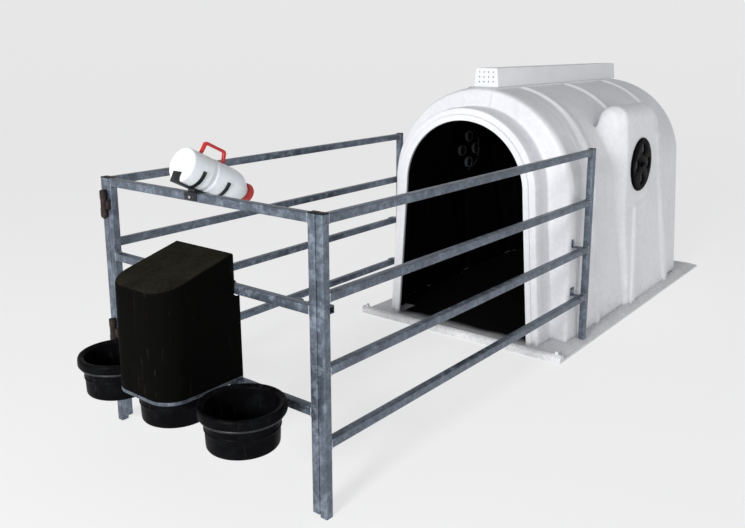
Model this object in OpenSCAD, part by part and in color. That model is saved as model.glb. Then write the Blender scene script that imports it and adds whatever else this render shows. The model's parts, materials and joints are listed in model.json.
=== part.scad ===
// Calf hutch: a moulded shell on a floor tray, with a tube pen, a bucket gate and a milk bottle.
// Millimetres. X runs across, Y from the gate towards the hutch, Z up.
// The origin is on the ground, under the middle of the tray.

/* [Tray] */
// Width of the floor tray
tray_w = 1220; // [1180:10:1300]
// Length of the floor tray
tray_l = 2160; // [2100:10:2400]
// Height of the tray's standing surface
tray_t = 30; // [20:1:40]
// Height of the tray's front lip
tray_lip_h = 40; // [32:1:60]

/* [Shell] */
// Distance from the tray's front edge to the shell's doorway flange
shell_setback = 60; // [40:5:100]
// Length of the shell from the doorway flange to the rear wall
shell_l = 1960; // [1800:10:2050]
// Half width of the shell at its foot
shell_half_w = 545; // [530:1:560]
// Radius of the shell's roof
roof_r = 530; // [500:1:535]
// Height of the centre of the roof's arc
roof_z = 750; // [600:5:860]
// Wall thickness of the moulding
shell_wall = 6; // [4:0.5:10]
// How far the stiffening bands stand proud
band_proud = 12; // [5:1:16]

/* [Doorway] */
// Radius of the doorway's arch
door_r = 345; // [300:1:360]
// Height of the centre of the doorway's arch
door_z = 780; // [700:5:850]
// Half width of the doorway at its foot
door_half_w = 394; // [350:1:400]

/* [Side vents] */
// Outer diameter of a side vent
vent_d = 300; // [240:2:320]
// Height of a side vent's centre
vent_z = 840; // [600:5:900]
// Diameter of each air hole
vent_hole_d = 62; // [40:1:64]

/* [Pen] */
// Height of the fence
fence_h = 1000; // [900:10:1150]
// Length of a side panel
panel_l = 1960; // [1500:10:2000]
// Width of the gate's opening between the side posts
gate_w = 1082; // [1082:2:1100]
// Side of the square tube
tube = 30; // [25:1:35]
// Wall of the square tube
tube_wall = 2; // [1.5:0.5:3]
// Angle that each side panel opens outwards towards the hutch
panel_splay = 0.7; // [0.5:0.1:0.9]

/* [Buckets and hood] */
// Outer diameter of a bucket's rim
rim_d = 284; // [240:2:288]
// Height of a bucket
bucket_h = 142; // [120:1:180]
// Distance between neighbouring buckets
bucket_pitch = 330; // [330:1:345]
// Clearance between the middle bucket's rim and the hood's walls
hood_clear = 5; // [3:0.5:10]
// Height of the hood's back edge above the ground
hood_top = 823; // [780:1:860]

/* [Bottle] */
// Outer diameter of the milk bottle
bottle_d = 124; // [100:1:140]
// Length of the bottle with its cap
bottle_l = 330; // [280:1:360]
// Angle that the bottle tips down into the pen
bottle_tilt = 26.5; // [15:0.5:35]

/* [Fits] */
// Radial clearance of a pin in its eye
pin_fit = 0.05; // [0.03:0.01:0.1]
// Clearance between a piece that rests and its seat
seat = 0.3; // [0.1:0.05:0.5]
// Gap between a gate post and the side post beside it
post_gap = 2; // [1:0.5:5]

/* [Hidden] */
$fn = 96;
sides = ["right", "left"];

// Shell: places along the length and the nested arches of its stepped front
door_y = -tray_l / 2 + shell_setback;
flange_t = 12;
step_1_y = door_y + flange_t;
step_2_y = door_y + 148;
rear_y = door_y + shell_l;
rear_round = 145;
step_half_w = 456;
step_r = 408;
flange_w = 30;
band_w = 50;
band_ys = [door_y + 445, door_y + 975, door_y + 1530];

// Side bays of the shell, which carry the vents
bay_x = shell_half_w + 20;
bay_crown_z = roof_z + 425;
bay_crown_r = 75;
bay_y0 = door_y + 785;
bay_foot_y1 = rear_y - 320;
bay_crown_y1 = rear_y - 740;
vent_y = bay_y0 + 195;

// Ridge vent
ridge_z0 = roof_z + roof_r + 4;
ridge_z1 = ridge_z0 + 96;
ridge_y0 = door_y + 220;
ridge_y1 = rear_y - 180;
ridge_half_w0 = 72;
ridge_half_w1 = 62;
ridge_wall = 4;
ridge_slot_half_w = 30;
ridge_hole_d = 7;

// Side vent
vent_plate_t = 4;
vent_flange_t = 6;
vent_stud_d = 12;
vent_shutter_t = 5;
vent_hole_r = (vent_d - 132) / 2;
vent_gap = 0.5;

// Gate and fence
gate_y = -tray_l / 2 - 1630;
seam_x = gate_w / 2 - post_gap / 2;
side_post_x = seam_x + post_gap / 2;
gate_post_x = seam_x - post_gap / 2 - tube;
panel_rail_tops = [fence_h, fence_h - 246, fence_h - 484, fence_h - 731];
gate_mid_top = fence_h - 291;
gate_low_top = fence_h - 628;
gate_foot = [30, 8];
cap_t = 4;
cap_fit = 0.2;

// Hinges and latch
knuckle_r = 12;
knuckle_h = 33;
knuckle_gap = 0.5;
hinge_r = 6;
hinge_off = 14;
hinge_zs = [fence_h - 150, fence_h - 665];
latch_r = 6;
latch_eye_r = 11;
latch_eye_l = 20;
latch_travel = 50;
keeper_gap = 3;
keeper_t = 4;
keeper_l = 16;
latch_y = gate_y + tube + 16;
latch_z = gate_mid_top - tube / 2;
latch_tip_x = gate_post_x + tube - 4;
latch_eye_xs = [latch_tip_x - 120, gate_post_x + 5];

// Buckets: the rim rests on a ring of round bar
bar_r = 5;
rim_r = rim_d / 2;
ring_r = rim_r - 12;
ring_z = gate_low_top - bar_r - 1;
rim_h = 33;
bucket_wall = 4;
rim_z0 = ring_z + bar_r + seat;
rim_z1 = rim_z0 + rim_h;
bucket_top_r = ring_r - bar_r - 2;
bucket_foot_r = bucket_top_r - 6;
bucket_z0 = rim_z1 - bucket_h;
bucket_y = gate_y - rim_r - 6;
middle_x = 25;

// Hood
hood_wall = 4;
hood_half_w = rim_r + hood_clear + hood_wall;
hood_lean = 5;
hood_front = bucket_y - rim_r - 3 - hood_wall;
hood_corner_r = 85;
hoop_h = 12;
hood_z0 = gate_low_top + hoop_h + seat;
hood_front_z = hood_top - 79;
hood_low_back = gate_y + 20;
strap_r = tube * 0.75;
strap_t = 4;
strap_w = 25;
strap_dx = 100;
rivet_r = 3;
mid_rail_y = gate_y + tube / 2;
mid_rail_z = gate_mid_top - tube / 2;
hood_back_z = mid_rail_z + strap_r + strap_t + 2;

// Bottle, laid along its own axis and then tipped over the gate's top rail
bottle_r = bottle_d / 2;
bottle_x = -33;
bottle_base_y = gate_y - 36;
cradle_gap = 0.4;
cradle_t = 3;
saddle_gap = 3.5;
bottle_base_z = fence_h + cradle_t + saddle_gap + (bottle_r + cradle_gap + cradle_t) / cos(bottle_tilt)
    + (gate_y + tube / 2 - bottle_base_y) * tan(bottle_tilt);
neck_r = 28;
cap_l = 30;
cradle_ys = [60, 175];

// ---------------------------------------------------------------- shared shapes

// Extrudes an X-Z outline from y0 to y1
module along_y(y0, y1) {
    translate([0, y1, 0]) rotate([90, 0, 0]) linear_extrude(y1 - y0) children();
}

// Extrudes a Y-Z outline from x0 to x1
module along_x(x0, x1) {
    translate([x0, 0, 0]) rotate([90, 0, 90]) linear_extrude(x1 - x0) children();
}

module block(lo, hi) {
    translate(lo) cube(hi - lo);
}

// A hollow square tube that fills the box from lo to hi, open at both ends along one axis
module square_tube(lo, hi, axis) {
    inset = [for (i = [0:2]) i == axis ? -1 : tube_wall];
    difference() {
        block(lo, hi);
        block(lo + inset, hi - inset);
    }
}

// An arched outline that stands on z0
module arch(half_w, r, zc, z0) {
    translate([0, zc]) circle(r);
    polygon([[-half_w, z0], [half_w, z0], [r, zc], [-r, zc]]);
}

module on_side(name) {
    if (name == "left") mirror([1, 0, 0]) children();
    else children();
}

// ---------------------------------------------------------------- tray

module tray() {
    slope = 45;
    edge_t = 12;
    lip_r = 18;
    color("darkgray") union() {
        intersection() {
            along_y(-tray_l / 2, tray_l / 2) polygon([
                [-tray_w / 2, 0], [tray_w / 2, 0], [tray_w / 2, edge_t], [tray_w / 2 - slope, tray_t],
                [-tray_w / 2 + slope, tray_t], [-tray_w / 2, edge_t]
            ]);
            along_x(-tray_w / 2, tray_w / 2) polygon([
                [-tray_l / 2, 0], [tray_l / 2, 0], [tray_l / 2, edge_t], [tray_l / 2 - slope, tray_t],
                [-tray_l / 2, tray_t]
            ]);
        }
        along_x(-tray_w / 2, tray_w / 2) union() {
            translate([-tray_l / 2 + lip_r, tray_lip_h - lip_r]) circle(lip_r);
            translate([-tray_l / 2, 0]) square([2 * lip_r, tray_lip_h - lip_r]);
        }
    }
}

// ---------------------------------------------------------------- shell

// The shell's solid envelope: inset 0 is the outside, the wall thickness is the inside
module shell_envelope(inset, z0) {
    along_y(step_1_y + inset, step_2_y + inset + 1) arch(step_half_w - inset, step_r - inset, door_z, z0);
    along_y(step_2_y + inset, rear_y - rear_round) main_arch(inset, z0);
    rear_cap(inset, z0);
    for (name = sides) on_side(name) side_bay(inset, z0);
}

module main_arch(inset, z0) {
    arch(shell_half_w - inset, roof_r - inset, roof_z, z0);
}

module rear_cap(inset, z0) {
    slab = 2;
    hull() {
        along_y(rear_y - rear_round - slab, rear_y - rear_round) main_arch(inset, z0);
        along_y(rear_y - rear_round / 3 - slab, rear_y - rear_round / 3) main_arch(inset + 34, z0);
        along_y(rear_y - inset - slab, rear_y - inset) main_arch(inset + 110, z0);
    }
}

// Upright side bay with a round-topped crown, separated from the roof by a valley. Its rear edge leans forwards.
module side_bay(inset, z0) {
    intersection() {
        along_y(bay_y0 + inset, bay_foot_y1) union() {
            translate([bay_x - bay_crown_r, bay_crown_z - bay_crown_r]) circle(bay_crown_r - inset);
            polygon([
                [bay_x - 2 * bay_crown_r + inset, z0], [bay_x - inset, z0],
                [bay_x - inset, bay_crown_z - bay_crown_r],
                [bay_x - 2 * bay_crown_r + inset, bay_crown_z - bay_crown_r]
            ]);
        }
        along_x(0, bay_x) polygon([
            [bay_y0, z0], [bay_foot_y1 - inset, z0], [bay_crown_y1 - inset, bay_crown_z], [bay_y0, bay_crown_z]
        ]);
    }
}

module roof_bands() {
    for (y = band_ys) along_y(y - band_w / 2, y + band_w / 2) main_arch(-band_proud, tray_t);
}

// Rib on a bay, from the tray up to a height, that may lean and narrow towards its top
module bay_rib(y, w, top, lean = 0, top_w = 0) {
    end_w = top_w > 0 ? top_w : w;
    along_x(bay_x - 20, bay_x + 6) polygon([
        [y - w / 2, tray_t], [y + w / 2, tray_t], [y - lean + end_w / 2, top], [y - lean - end_w / 2, top]
    ]);
}

module shell() {
    color("white") difference() {
        union() {
            along_y(door_y, step_1_y + shell_wall) arch(door_half_w + flange_w, door_r + flange_w, door_z, tray_t);
            shell_envelope(0, tray_t);
            roof_bands();
            block([-ridge_half_w0 - 14, ridge_y0, roof_z], [ridge_half_w0 + 14, ridge_y1, ridge_z0]);
            for (name = sides) on_side(name) {
                bay_rib(vent_y - 25, 70, vent_z - vent_d / 2 - 60);
                bay_rib(bay_foot_y1 - 70, 70, bay_crown_z - 145, 350, 16);
            }
        }
        along_y(door_y - 1, step_1_y + shell_wall + 2) arch(door_half_w, door_r, door_z, tray_t - 1);
        shell_envelope(shell_wall, tray_t - 1);
        block([-ridge_half_w0 - 14.1, ridge_y0 - band_w, ridge_z0], [ridge_half_w0 + 14.1, ridge_y1 + band_w, ridge_z1]);
        block([-ridge_slot_half_w, ridge_y0 + 120, roof_z], [ridge_slot_half_w, ridge_y1 - 120, ridge_z0 + 1]);
        for (name = sides) on_side(name) {
            translate([bay_x - 60, vent_y, vent_z]) rotate([0, 90, 0]) cylinder(r = vent_spigot_r + 1, h = 120);
            for (z = hook_zs) translate([shell_half_w - 60, hook_y, z + hook_bolt_dz]) rotate([0, 90, 0])
                cylinder(r = hook_bolt_r + pin_fit, h = 90);
        }
    }
}

module ridge_outline(inset) {
    polygon([
        [-ridge_half_w0 + inset, ridge_z0 - (inset > 0 ? 1 : 0)], [ridge_half_w0 - inset, ridge_z0 - (inset > 0 ? 1 : 0)],
        [ridge_half_w1 - inset, ridge_z1 - inset], [-ridge_half_w1 + inset, ridge_z1 - inset]
    ]);
}

module ridge_vent() {
    cols = 4;
    rows = 3;
    col_step = 27;
    row_step = 25;
    color("white") difference() {
        along_y(ridge_y0, ridge_y1) ridge_outline(0);
        along_y(ridge_y0 + ridge_wall, ridge_y1 - ridge_wall) ridge_outline(ridge_wall);
        for (i = [0:cols - 1]) for (j = [0:rows - 1])
            translate([(i - (cols - 1) / 2) * col_step, ridge_y0 - 1, ridge_z0 + 26 + j * row_step])
                rotate([-90, 0, 0]) cylinder(d = ridge_hole_d, h = ridge_wall + 2);
    }
}

// ---------------------------------------------------------------- side vents

vent_spigot_r = vent_d / 2 - 19;

// Places a shape drawn about +Z on the right-hand bay wall, facing outwards
module at_vent(x) {
    translate([x, vent_y, vent_z]) rotate([0, 90, 0]) children();
}

module vent_holes(h) {
    for (a = [0:90:270]) rotate([0, 0, a]) translate([vent_hole_r, 0, -1]) cylinder(d = vent_hole_d, h = h + 2);
}

module vent_frame(name) {
    color("black") on_side(name) difference() {
        union() {
            at_vent(bay_x) cylinder(d = vent_d, h = vent_flange_t);
            at_vent(bay_x - shell_wall) cylinder(r = vent_spigot_r, h = shell_wall + 1);
            at_vent(bay_x) cylinder(d = vent_stud_d, h = vent_flange_t + vent_shutter_t);
        }
        at_vent(bay_x - shell_wall - 1) cylinder(r = vent_spigot_r - 4, h = shell_wall + 1 + vent_flange_t - vent_plate_t);
        at_vent(bay_x) vent_holes(vent_flange_t);
    }
}

module vent_shutter(name) {
    color([0.05, 0.05, 0.05]) on_side(name) at_vent(bay_x + vent_flange_t + vent_gap) difference() {
        cylinder(d = vent_d - 12, h = vent_shutter_t);
        vent_holes(vent_shutter_t);
        translate([0, 0, -1]) cylinder(r = vent_stud_d / 2 + pin_fit, h = vent_shutter_t + 2);
    }
}

module vent_handle(name) {
    grip = [14, 56, 14];
    color("black") on_side(name) at_vent(bay_x + vent_flange_t + vent_gap + vent_shutter_t) union() {
        cylinder(r = 15, h = 4);
        translate([-grip[0] / 2, -grip[1] / 2, 0]) cube(grip);
    }
}

// ---------------------------------------------------------------- side panels

// A side panel's own frame: its front post's outer corner stays, and it turns outwards by the splay
module at_panel(name) {
    on_side(name) translate([side_post_x, gate_y, 0]) rotate([0, 0, -panel_splay]) children();
}

module side_post(name, y, z0) {
    color("slategray") at_panel(name) square_tube([0, y, z0], [tube, y + tube, fence_h], 2);
}

module side_rail(name, i) {
    color("slategray") at_panel(name)
        square_tube([0, tube, panel_rail_tops[i] - tube], [tube, panel_l - tube, panel_rail_tops[i]], 1);
}

// Black plug that closes the top of a post whose corner is at the origin
module post_cap() {
    inset = tube_wall + cap_fit;
    translate([0, 0, fence_h]) cube([tube, tube, cap_t]);
    translate([inset, inset, fence_h - 14]) cube([tube - 2 * inset, tube - 2 * inset, 14]);
}

module side_post_caps() {
    color("black") for (name = sides) at_panel(name) {
        post_cap();
        translate([0, panel_l - tube, 0]) post_cap();
    }
}

// Hooks on the shell that reach over the two lower rails of each panel
hook_y = step_2_y + 42;
hook_zs = [panel_rail_tops[2], panel_rail_tops[3]];
hook_w = 40;
hook_t = 3;
hook_bolt_r = 4;
hook_bolt_dz = 22;
function shell_side_x(z) = roof_r + (shell_half_w - roof_r) * (roof_z - z) / (roof_z - tray_t);
function rail_x(y) = side_post_x + (y - gate_y) * sin(panel_splay);

module fence_hooks() {
    color("dimgray") for (name = sides) on_side(name) for (z = hook_zs) {
        x0 = shell_side_x(z);
        x1 = rail_x(hook_y) + tube + 1;
        difference() {
            union() {
                block([x0, hook_y - hook_w / 2, z + seat], [x0 + hook_t, hook_y + hook_w / 2, z + 40]);
                block([x0, hook_y - hook_w / 2, z + seat], [x1 + hook_t, hook_y + hook_w / 2, z + seat + hook_t]);
                block([x1, hook_y - hook_w / 2, z - 12], [x1 + hook_t, hook_y + hook_w / 2, z + seat + hook_t]);
            }
            translate([x0 - 1, hook_y, z + hook_bolt_dz]) rotate([0, 90, 0])
                cylinder(r = hook_bolt_r + pin_fit, h = hook_t + 2);
        }
    }
}

module hook_bolts() {
    color("silver") for (name = sides) on_side(name) for (z = hook_zs) {
        x0 = shell_side_x(z);
        translate([x0 - shell_wall - 9, hook_y, z + hook_bolt_dz]) rotate([0, 90, 0])
            cylinder(r = hook_bolt_r, h = shell_wall + hook_t + 9 + 1);
        translate([x0 + hook_t, hook_y, z + hook_bolt_dz]) rotate([0, 90, 0]) cylinder(r = 7, h = 5, $fn = 6);
    }
}

// ---------------------------------------------------------------- hinges and latch

// One knuckle round the pin's axis, with a leg welded to the post on the given side of the seam
module knuckle(z, leg) {
    difference() {
        union() {
            translate([-seam_x, gate_y - hinge_off, z]) cylinder(r = knuckle_r, h = knuckle_h);
            block(
                [-seam_x + min(leg * 6, leg * 26), gate_y - hinge_off, z],
                [-seam_x + max(leg * 6, leg * 26), gate_y, z + knuckle_h]
            );
        }
        translate([-seam_x, gate_y - hinge_off, z - 1]) cylinder(r = hinge_r + pin_fit, h = knuckle_h + 2);
    }
}

module hinge_knuckles_post() {
    color("saddlebrown") difference() {
        for (z = hinge_zs) {
            knuckle(z, -1);
            knuckle(z + 2 * (knuckle_h + knuckle_gap), -1);
        }
        at_panel("left") block([0, 0, 0], [tube, tube, fence_h]);
    }
}

module hinge_knuckles_gate() {
    color("saddlebrown") for (z = hinge_zs) knuckle(z + knuckle_h + knuckle_gap, 1);
}

module hinge_pins() {
    stack = 3 * knuckle_h + 2 * knuckle_gap;
    color("saddlebrown") for (z = hinge_zs) translate([-seam_x, gate_y - hinge_off, z]) {
        translate([0, 0, -6]) cylinder(r = hinge_r, h = stack + 6);
        translate([0, 0, stack]) cylinder(r = hinge_r + 4, h = 6);
    }
}

// Draws along the latch bolt's axis, starting at x
module on_latch(x) {
    translate([x, latch_y, latch_z]) rotate([0, 90, 0]) children();
}

// Eye for the bolt, with a foot down to the face that it is welded to
module latch_eye(x, l) {
    difference() {
        union() {
            on_latch(x) cylinder(r = latch_eye_r, h = l);
            block([x, gate_y + tube, latch_z - 9], [x + l, latch_y, latch_z + 9]);
        }
        on_latch(x - 1) cylinder(r = latch_r + pin_fit, h = l + 2);
    }
}

module latch_guides() {
    color("slategray") for (x = latch_eye_xs) latch_eye(x, latch_eye_l);
}

// Staple for the bolt: a strap bent round the bolt's path, with both ends on the post
module latch_keeper() {
    x = side_post_x + 5;
    half_h = latch_r + keeper_gap;
    color("slategray") difference() {
        block(
            [x, gate_y + tube, latch_z - half_h - keeper_t],
            [x + keeper_l, latch_y + half_h + keeper_t, latch_z + half_h + keeper_t]
        );
        block([x - 1, gate_y + tube - 1, latch_z - half_h], [x + keeper_l + 1, latch_y + half_h, latch_z + half_h]);
    }
}

module latch_bolt() {
    knob_x = latch_eye_xs[1] - latch_travel - latch_r - 2;
    color("silver") union() {
        on_latch(latch_eye_xs[0] - 12) cylinder(r = latch_r, h = latch_tip_x - latch_eye_xs[0] + 12);
        translate([knob_x, latch_y, latch_z]) rotate([-90, 0, 0]) cylinder(r = latch_r - 1, h = 34);
    }
}

// ---------------------------------------------------------------- gate

module gate_post(x, foot) {
    color("slategray") square_tube([x, gate_y, foot], [x + tube, gate_y + tube, fence_h], 2);
}

module gate_rail(top) {
    color("slategray")
        square_tube([-gate_post_x, gate_y, top - tube], [gate_post_x, gate_y + tube, top], 0);
}

module gate_post_caps() {
    color("black") for (x = [-gate_post_x - tube, gate_post_x]) translate([x, gate_y, 0]) post_cap();
}

// Ring of round bar that carries a bucket, with two struts to the gate's bottom rail
module bucket_ring(i) {
    strut_x = ring_r * 0.55;
    color("slategray") translate([middle_x + i * bucket_pitch, bucket_y, ring_z]) union() {
        rotate_extrude() translate([ring_r, 0]) circle(bar_r);
        for (s = [-1, 1]) translate([s * strut_x, sqrt(ring_r * ring_r - strut_x * strut_x), 0]) rotate([-90, 0, 0])
            cylinder(r = bar_r, h = gate_y - bucket_y - sqrt(ring_r * ring_r - strut_x * strut_x));
    }
}

// Plan of the hood: a rectangle with large round corners at the front
module hood_plan(half_w, front, back, corner) {
    translate([-half_w, front + corner]) square([2 * half_w, back - front - corner]);
    translate([-half_w + corner, front]) square([2 * (half_w - corner), corner + 1]);
    for (s = [-1, 1]) translate([s * (half_w - corner), front + corner]) circle(corner);
}

// Flat bar bent to the hood's plan, standing on the bottom rail
module hood_hoop() {
    color("slategray") translate([middle_x, 0, gate_low_top]) linear_extrude(hoop_h) difference() {
        hood_plan(hood_half_w, hood_front, hood_low_back, hood_corner_r);
        hood_plan(hood_half_w - hood_wall, hood_front + hood_wall, hood_low_back + 1, hood_corner_r - hood_wall);
    }
}

// ---------------------------------------------------------------- buckets

module bucket(i) {
    lip = 13;
    color("black") translate([middle_x + i * bucket_pitch, bucket_y, 0]) rotate_extrude() polygon([
        [0, bucket_z0], [bucket_foot_r, bucket_z0], [bucket_top_r, rim_z0], [bucket_top_r + 0.5, rim_z1 - bucket_wall],
        [rim_r - bucket_wall, rim_z1 - bucket_wall], [rim_r - bucket_wall, rim_z0 + bucket_wall],
        [rim_r - lip, rim_z0 + bucket_wall], [rim_r - lip, rim_z0], [rim_r - 2, rim_z0], [rim_r, rim_z0 + 3],
        [rim_r, rim_z1 - 5], [rim_r - 5, rim_z1], [bucket_top_r - bucket_wall, rim_z1 - 2],
        [bucket_foot_r - bucket_wall, bucket_z0 + bucket_wall], [0, bucket_z0 + bucket_wall]
    ]);
}

// ---------------------------------------------------------------- hood

// Tapered block with the hood's plan, from the foot up past its top
module hood_block(inset) {
    top = hood_top + 10;
    hull() {
        translate([middle_x, 0, hood_z0 - (inset > 0 ? 2 : 0)]) linear_extrude(1) hood_plan(
            hood_half_w - inset, hood_front + inset, hood_low_back + inset, hood_corner_r - inset, $fn = 64);
        translate([middle_x, 0, top]) linear_extrude(1) hood_plan(
            hood_half_w - hood_lean - inset, hood_front + inset, hood_low_back + inset, hood_corner_r - inset,
            $fn = 64);
    }
}

// Y-Z profile of the hood: a roof that falls to the front and a back that clears the mid rail
module hood_profile(inset) {
    upper_back = gate_y - 0.5;
    run = upper_back - hood_front;
    fall = (hood_top - hood_front_z) / run;
    polygon([
        [hood_front - 1, hood_z0 - 1], [hood_low_back + (inset > 0 ? 1 : 0), hood_z0 - 1],
        [hood_low_back + (inset > 0 ? 1 : 0), hood_back_z - inset], [upper_back - inset, hood_back_z - inset],
        [upper_back - inset, hood_top - fall * inset - inset], [hood_front - 1, hood_front_z - inset]
    ]);
}

module hood() {
    color([0.08, 0.08, 0.08]) difference() {
        intersection() {
            hood_block(0);
            along_x(middle_x - hood_half_w - 1, middle_x + hood_half_w + 1) hood_profile(0);
        }
        intersection() {
            hood_block(hood_wall);
            along_x(middle_x - hood_half_w, middle_x + hood_half_w) hood_profile(hood_wall);
        }
        translate([middle_x - hood_half_w - 1, mid_rail_y, mid_rail_z]) rotate([0, 90, 0])
            cylinder(r = strap_r + 1, h = 2 * hood_half_w + 2);
        block([middle_x - hood_half_w - 1, gate_y - 0.5, mid_rail_z - 2], [middle_x + hood_half_w + 1, gate_y + 60, hood_top]);
        rivet_holes();
    }
}

rivet_zs = [hood_back_z + 14, hood_back_z + 34];

module rivet_holes() {
    for (s = [-1, 1]) for (z = rivet_zs) translate([middle_x + s * strap_dx, gate_y - 10, z]) rotate([-90, 0, 0])
        cylinder(r = rivet_r + pin_fit, h = 20);
}

// Straps riveted to the hood's back, each with a loop round the gate's mid rail
module hood_straps() {
    inner = gate_y - 0.5;
    color("dimgray") for (s = [-1, 1]) difference() {
        union() {
            translate([middle_x + s * strap_dx - strap_w / 2, mid_rail_y, mid_rail_z]) rotate([0, 90, 0])
                cylinder(r = strap_r + strap_t, h = strap_w);
            block(
                [middle_x + s * strap_dx - strap_w / 2, inner, mid_rail_z + strap_r - 4],
                [middle_x + s * strap_dx + strap_w / 2, inner + 3, hood_back_z + 46]
            );
        }
        translate([middle_x + s * strap_dx - strap_w, mid_rail_y, mid_rail_z]) rotate([0, 90, 0])
            cylinder(r = strap_r, h = 2 * strap_w);
        rivet_holes();
    }
}

module hood_rivets() {
    color("silver") for (s = [-1, 1]) for (z = rivet_zs)
        translate([middle_x + s * strap_dx, gate_y - 0.5 - hood_wall, z]) rotate([-90, 0, 0]) union() {
            cylinder(r = rivet_r, h = hood_wall + 3 + 1);
            translate([0, 0, hood_wall + 3]) cylinder(r = rivet_r * 2, h = 2);
        }
}

// ---------------------------------------------------------------- bottle and rack

// The bottle's own frame: +Y runs from its base to its cap
module at_bottle() {
    translate([bottle_x, bottle_base_y, bottle_base_z]) rotate([-bottle_tilt, 0, 0]) children();
}

module turned() {
    rotate([-90, 0, 0]) rotate_extrude() children();
}

module bottle() {
    w = 2.5;
    body_end = bottle_l - 105;
    neck_y = bottle_l - cap_l - 6;
    color("whitesmoke") at_bottle() turned() polygon([
        [0, 0], [bottle_r - 14, 0], [bottle_r - 4, 4], [bottle_r, 14], [bottle_r, 102], [bottle_r - 3, 107],
        [bottle_r - 3, 113], [bottle_r, 118], [bottle_r, body_end], [bottle_r - 5, body_end + 30],
        [bottle_r - 18, body_end + 54], [neck_r, neck_y], [neck_r, bottle_l - 5], [neck_r - w, bottle_l - 5],
        [neck_r - w, neck_y - 2], [bottle_r - 18 - w, body_end + 52], [bottle_r - 5 - w, body_end + 29],
        [bottle_r - w, body_end], [bottle_r - w, 120], [bottle_r - 3 - w, 114], [bottle_r - 3 - w, 106],
        [bottle_r - w, 100], [bottle_r - w, 15], [bottle_r - 5, 7], [bottle_r - 15, w], [0, w]
    ]);
}

module bottle_cap() {
    color("crimson") at_bottle() turned() polygon([
        [0, bottle_l], [neck_r + 4, bottle_l], [neck_r + 8, bottle_l - 5], [neck_r + 8, bottle_l - cap_l],
        [neck_r + seat, bottle_l - cap_l], [neck_r + seat, bottle_l - 4.5], [0, bottle_l - 4.5]
    ]);
}

module bottle_handle() {
    bar = 10;
    rise = 46;
    y0 = 62;
    y1 = 178;
    color("crimson") at_bottle() along_x(-7, 7) difference() {
        polygon([
            [y0, bottle_r], [y1, bottle_r], [y1, bottle_r + 8], [y1 - 8, bottle_r + rise - 6],
            [y1 - 16, bottle_r + rise], [y0 + 14, bottle_r + rise], [y0 + 5, bottle_r + rise - 6]
        ]);
        polygon([
            [y0 + bar, bottle_r - 1], [y1 - bar, bottle_r - 1], [y1 - bar - 1, bottle_r + 8],
            [y1 - bar - 9, bottle_r + rise - bar], [y0 + bar + 7, bottle_r + rise - bar]
        ]);
    }
}

// Steel cradle clamped on the top rail: two half hoops, a strip under the bottle and an end stop
module bottle_rack() {
    r0 = bottle_r + cradle_gap;
    r1 = r0 + cradle_t;
    strip_w = 20;
    drop = 0.5;
    hoop_low = 2;
    web_in = 3;
    color([0.2, 0.22, 0.24]) difference() {
        union() {
            at_bottle() for (y = cradle_ys) intersection() {
                translate([0, y, 0]) rotate([-90, 0, 0]) difference() {
                    cylinder(r = r1, h = 14, center = true);
                    cylinder(r = r0, h = 16, center = true);
                }
                block([-r1 - 1, y - 10, -r1 - 1], [r1 + 1, y + 10, -hoop_low]);
            }
            at_bottle() block([-strip_w, -cradle_gap - cradle_t, -r1 - drop], [strip_w, cradle_ys[1] + 12, -r0 - drop]);
            at_bottle() block(
                [-strip_w, -cradle_gap - cradle_t, -r1 - drop], [strip_w, -cradle_gap, -bottle_r * 0.45]);
            difference() {
                block(
                    [bottle_x - strip_w + web_in, gate_y + web_in, fence_h + 1],
                    [bottle_x + strip_w - web_in, gate_y + tube - web_in, fence_h + 40]
                );
                at_bottle() block([-strip_w - 1, -80, -(r0 + r1) / 2 - drop], [strip_w + 1, 200, 100]);
            }
            block([bottle_x - 32, gate_y - cradle_t, fence_h - 26], [bottle_x + 32, gate_y + tube + cradle_t, fence_h + cradle_t]);
        }
        block([bottle_x - 33, gate_y, fence_h - 27], [bottle_x + 33, gate_y + tube, fence_h]);
        translate([bottle_x, gate_y - 10, fence_h - 14]) rotate([-90, 0, 0]) cylinder(r = 3 + pin_fit, h = 10);
    }
}

module rack_bolt() {
    color("silver") translate([bottle_x, gate_y, fence_h - 14]) rotate([90, 0, 0]) union() {
        cylinder(r = 3, h = cradle_t + 1);
        translate([0, 0, cradle_t]) cylinder(r = 6, h = 5, $fn = 6);
    }
}

tray();
shell();
ridge_vent();
vent_frame("right");  // right_vent_frame
vent_frame("left");  // left_vent_frame
vent_shutter("right");  // right_vent_shutter
vent_shutter("left");  // left_vent_shutter
vent_handle("right");  // right_vent_handle
vent_handle("left");  // left_vent_handle
side_post("right", 0, 0);  // right_front_post
side_post("right", panel_l - tube, tray_t);  // right_rear_post
side_post("left", 0, 0);  // left_front_post
side_post("left", panel_l - tube, tray_t);  // left_rear_post
side_rail("right", 0);  // right_rail_1
side_rail("right", 1);  // right_rail_2
side_rail("right", 2);  // right_rail_3
side_rail("right", 3);  // right_rail_4
side_rail("left", 0);  // left_rail_1
side_rail("left", 1);  // left_rail_2
side_rail("left", 2);  // left_rail_3
side_rail("left", 3);  // left_rail_4
side_post_caps();
fence_hooks();
hook_bolts();
hinge_knuckles_post();
hinge_pins();
latch_keeper();
gate_post(-gate_post_x - tube, gate_foot[0]);  // gate_hinge_post
gate_post(gate_post_x, gate_foot[1]);  // gate_latch_post
gate_rail(fence_h);  // gate_top_rail
gate_rail(gate_mid_top);  // gate_mid_rail
gate_rail(gate_low_top);  // gate_bottom_rail
gate_post_caps();
hinge_knuckles_gate();
latch_guides();
latch_bolt();
bucket_ring(-1);  // bucket_ring_left
bucket_ring(0);  // bucket_ring_middle
bucket_ring(1);  // bucket_ring_right
hood_hoop();
bucket(-1);  // bucket_left
bucket(0);  // bucket_middle
bucket(1);  // bucket_right
hood();
hood_straps();
hood_rivets();
bottle_rack();
rack_bolt();
bottle();
bottle_handle();
bottle_cap();
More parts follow.
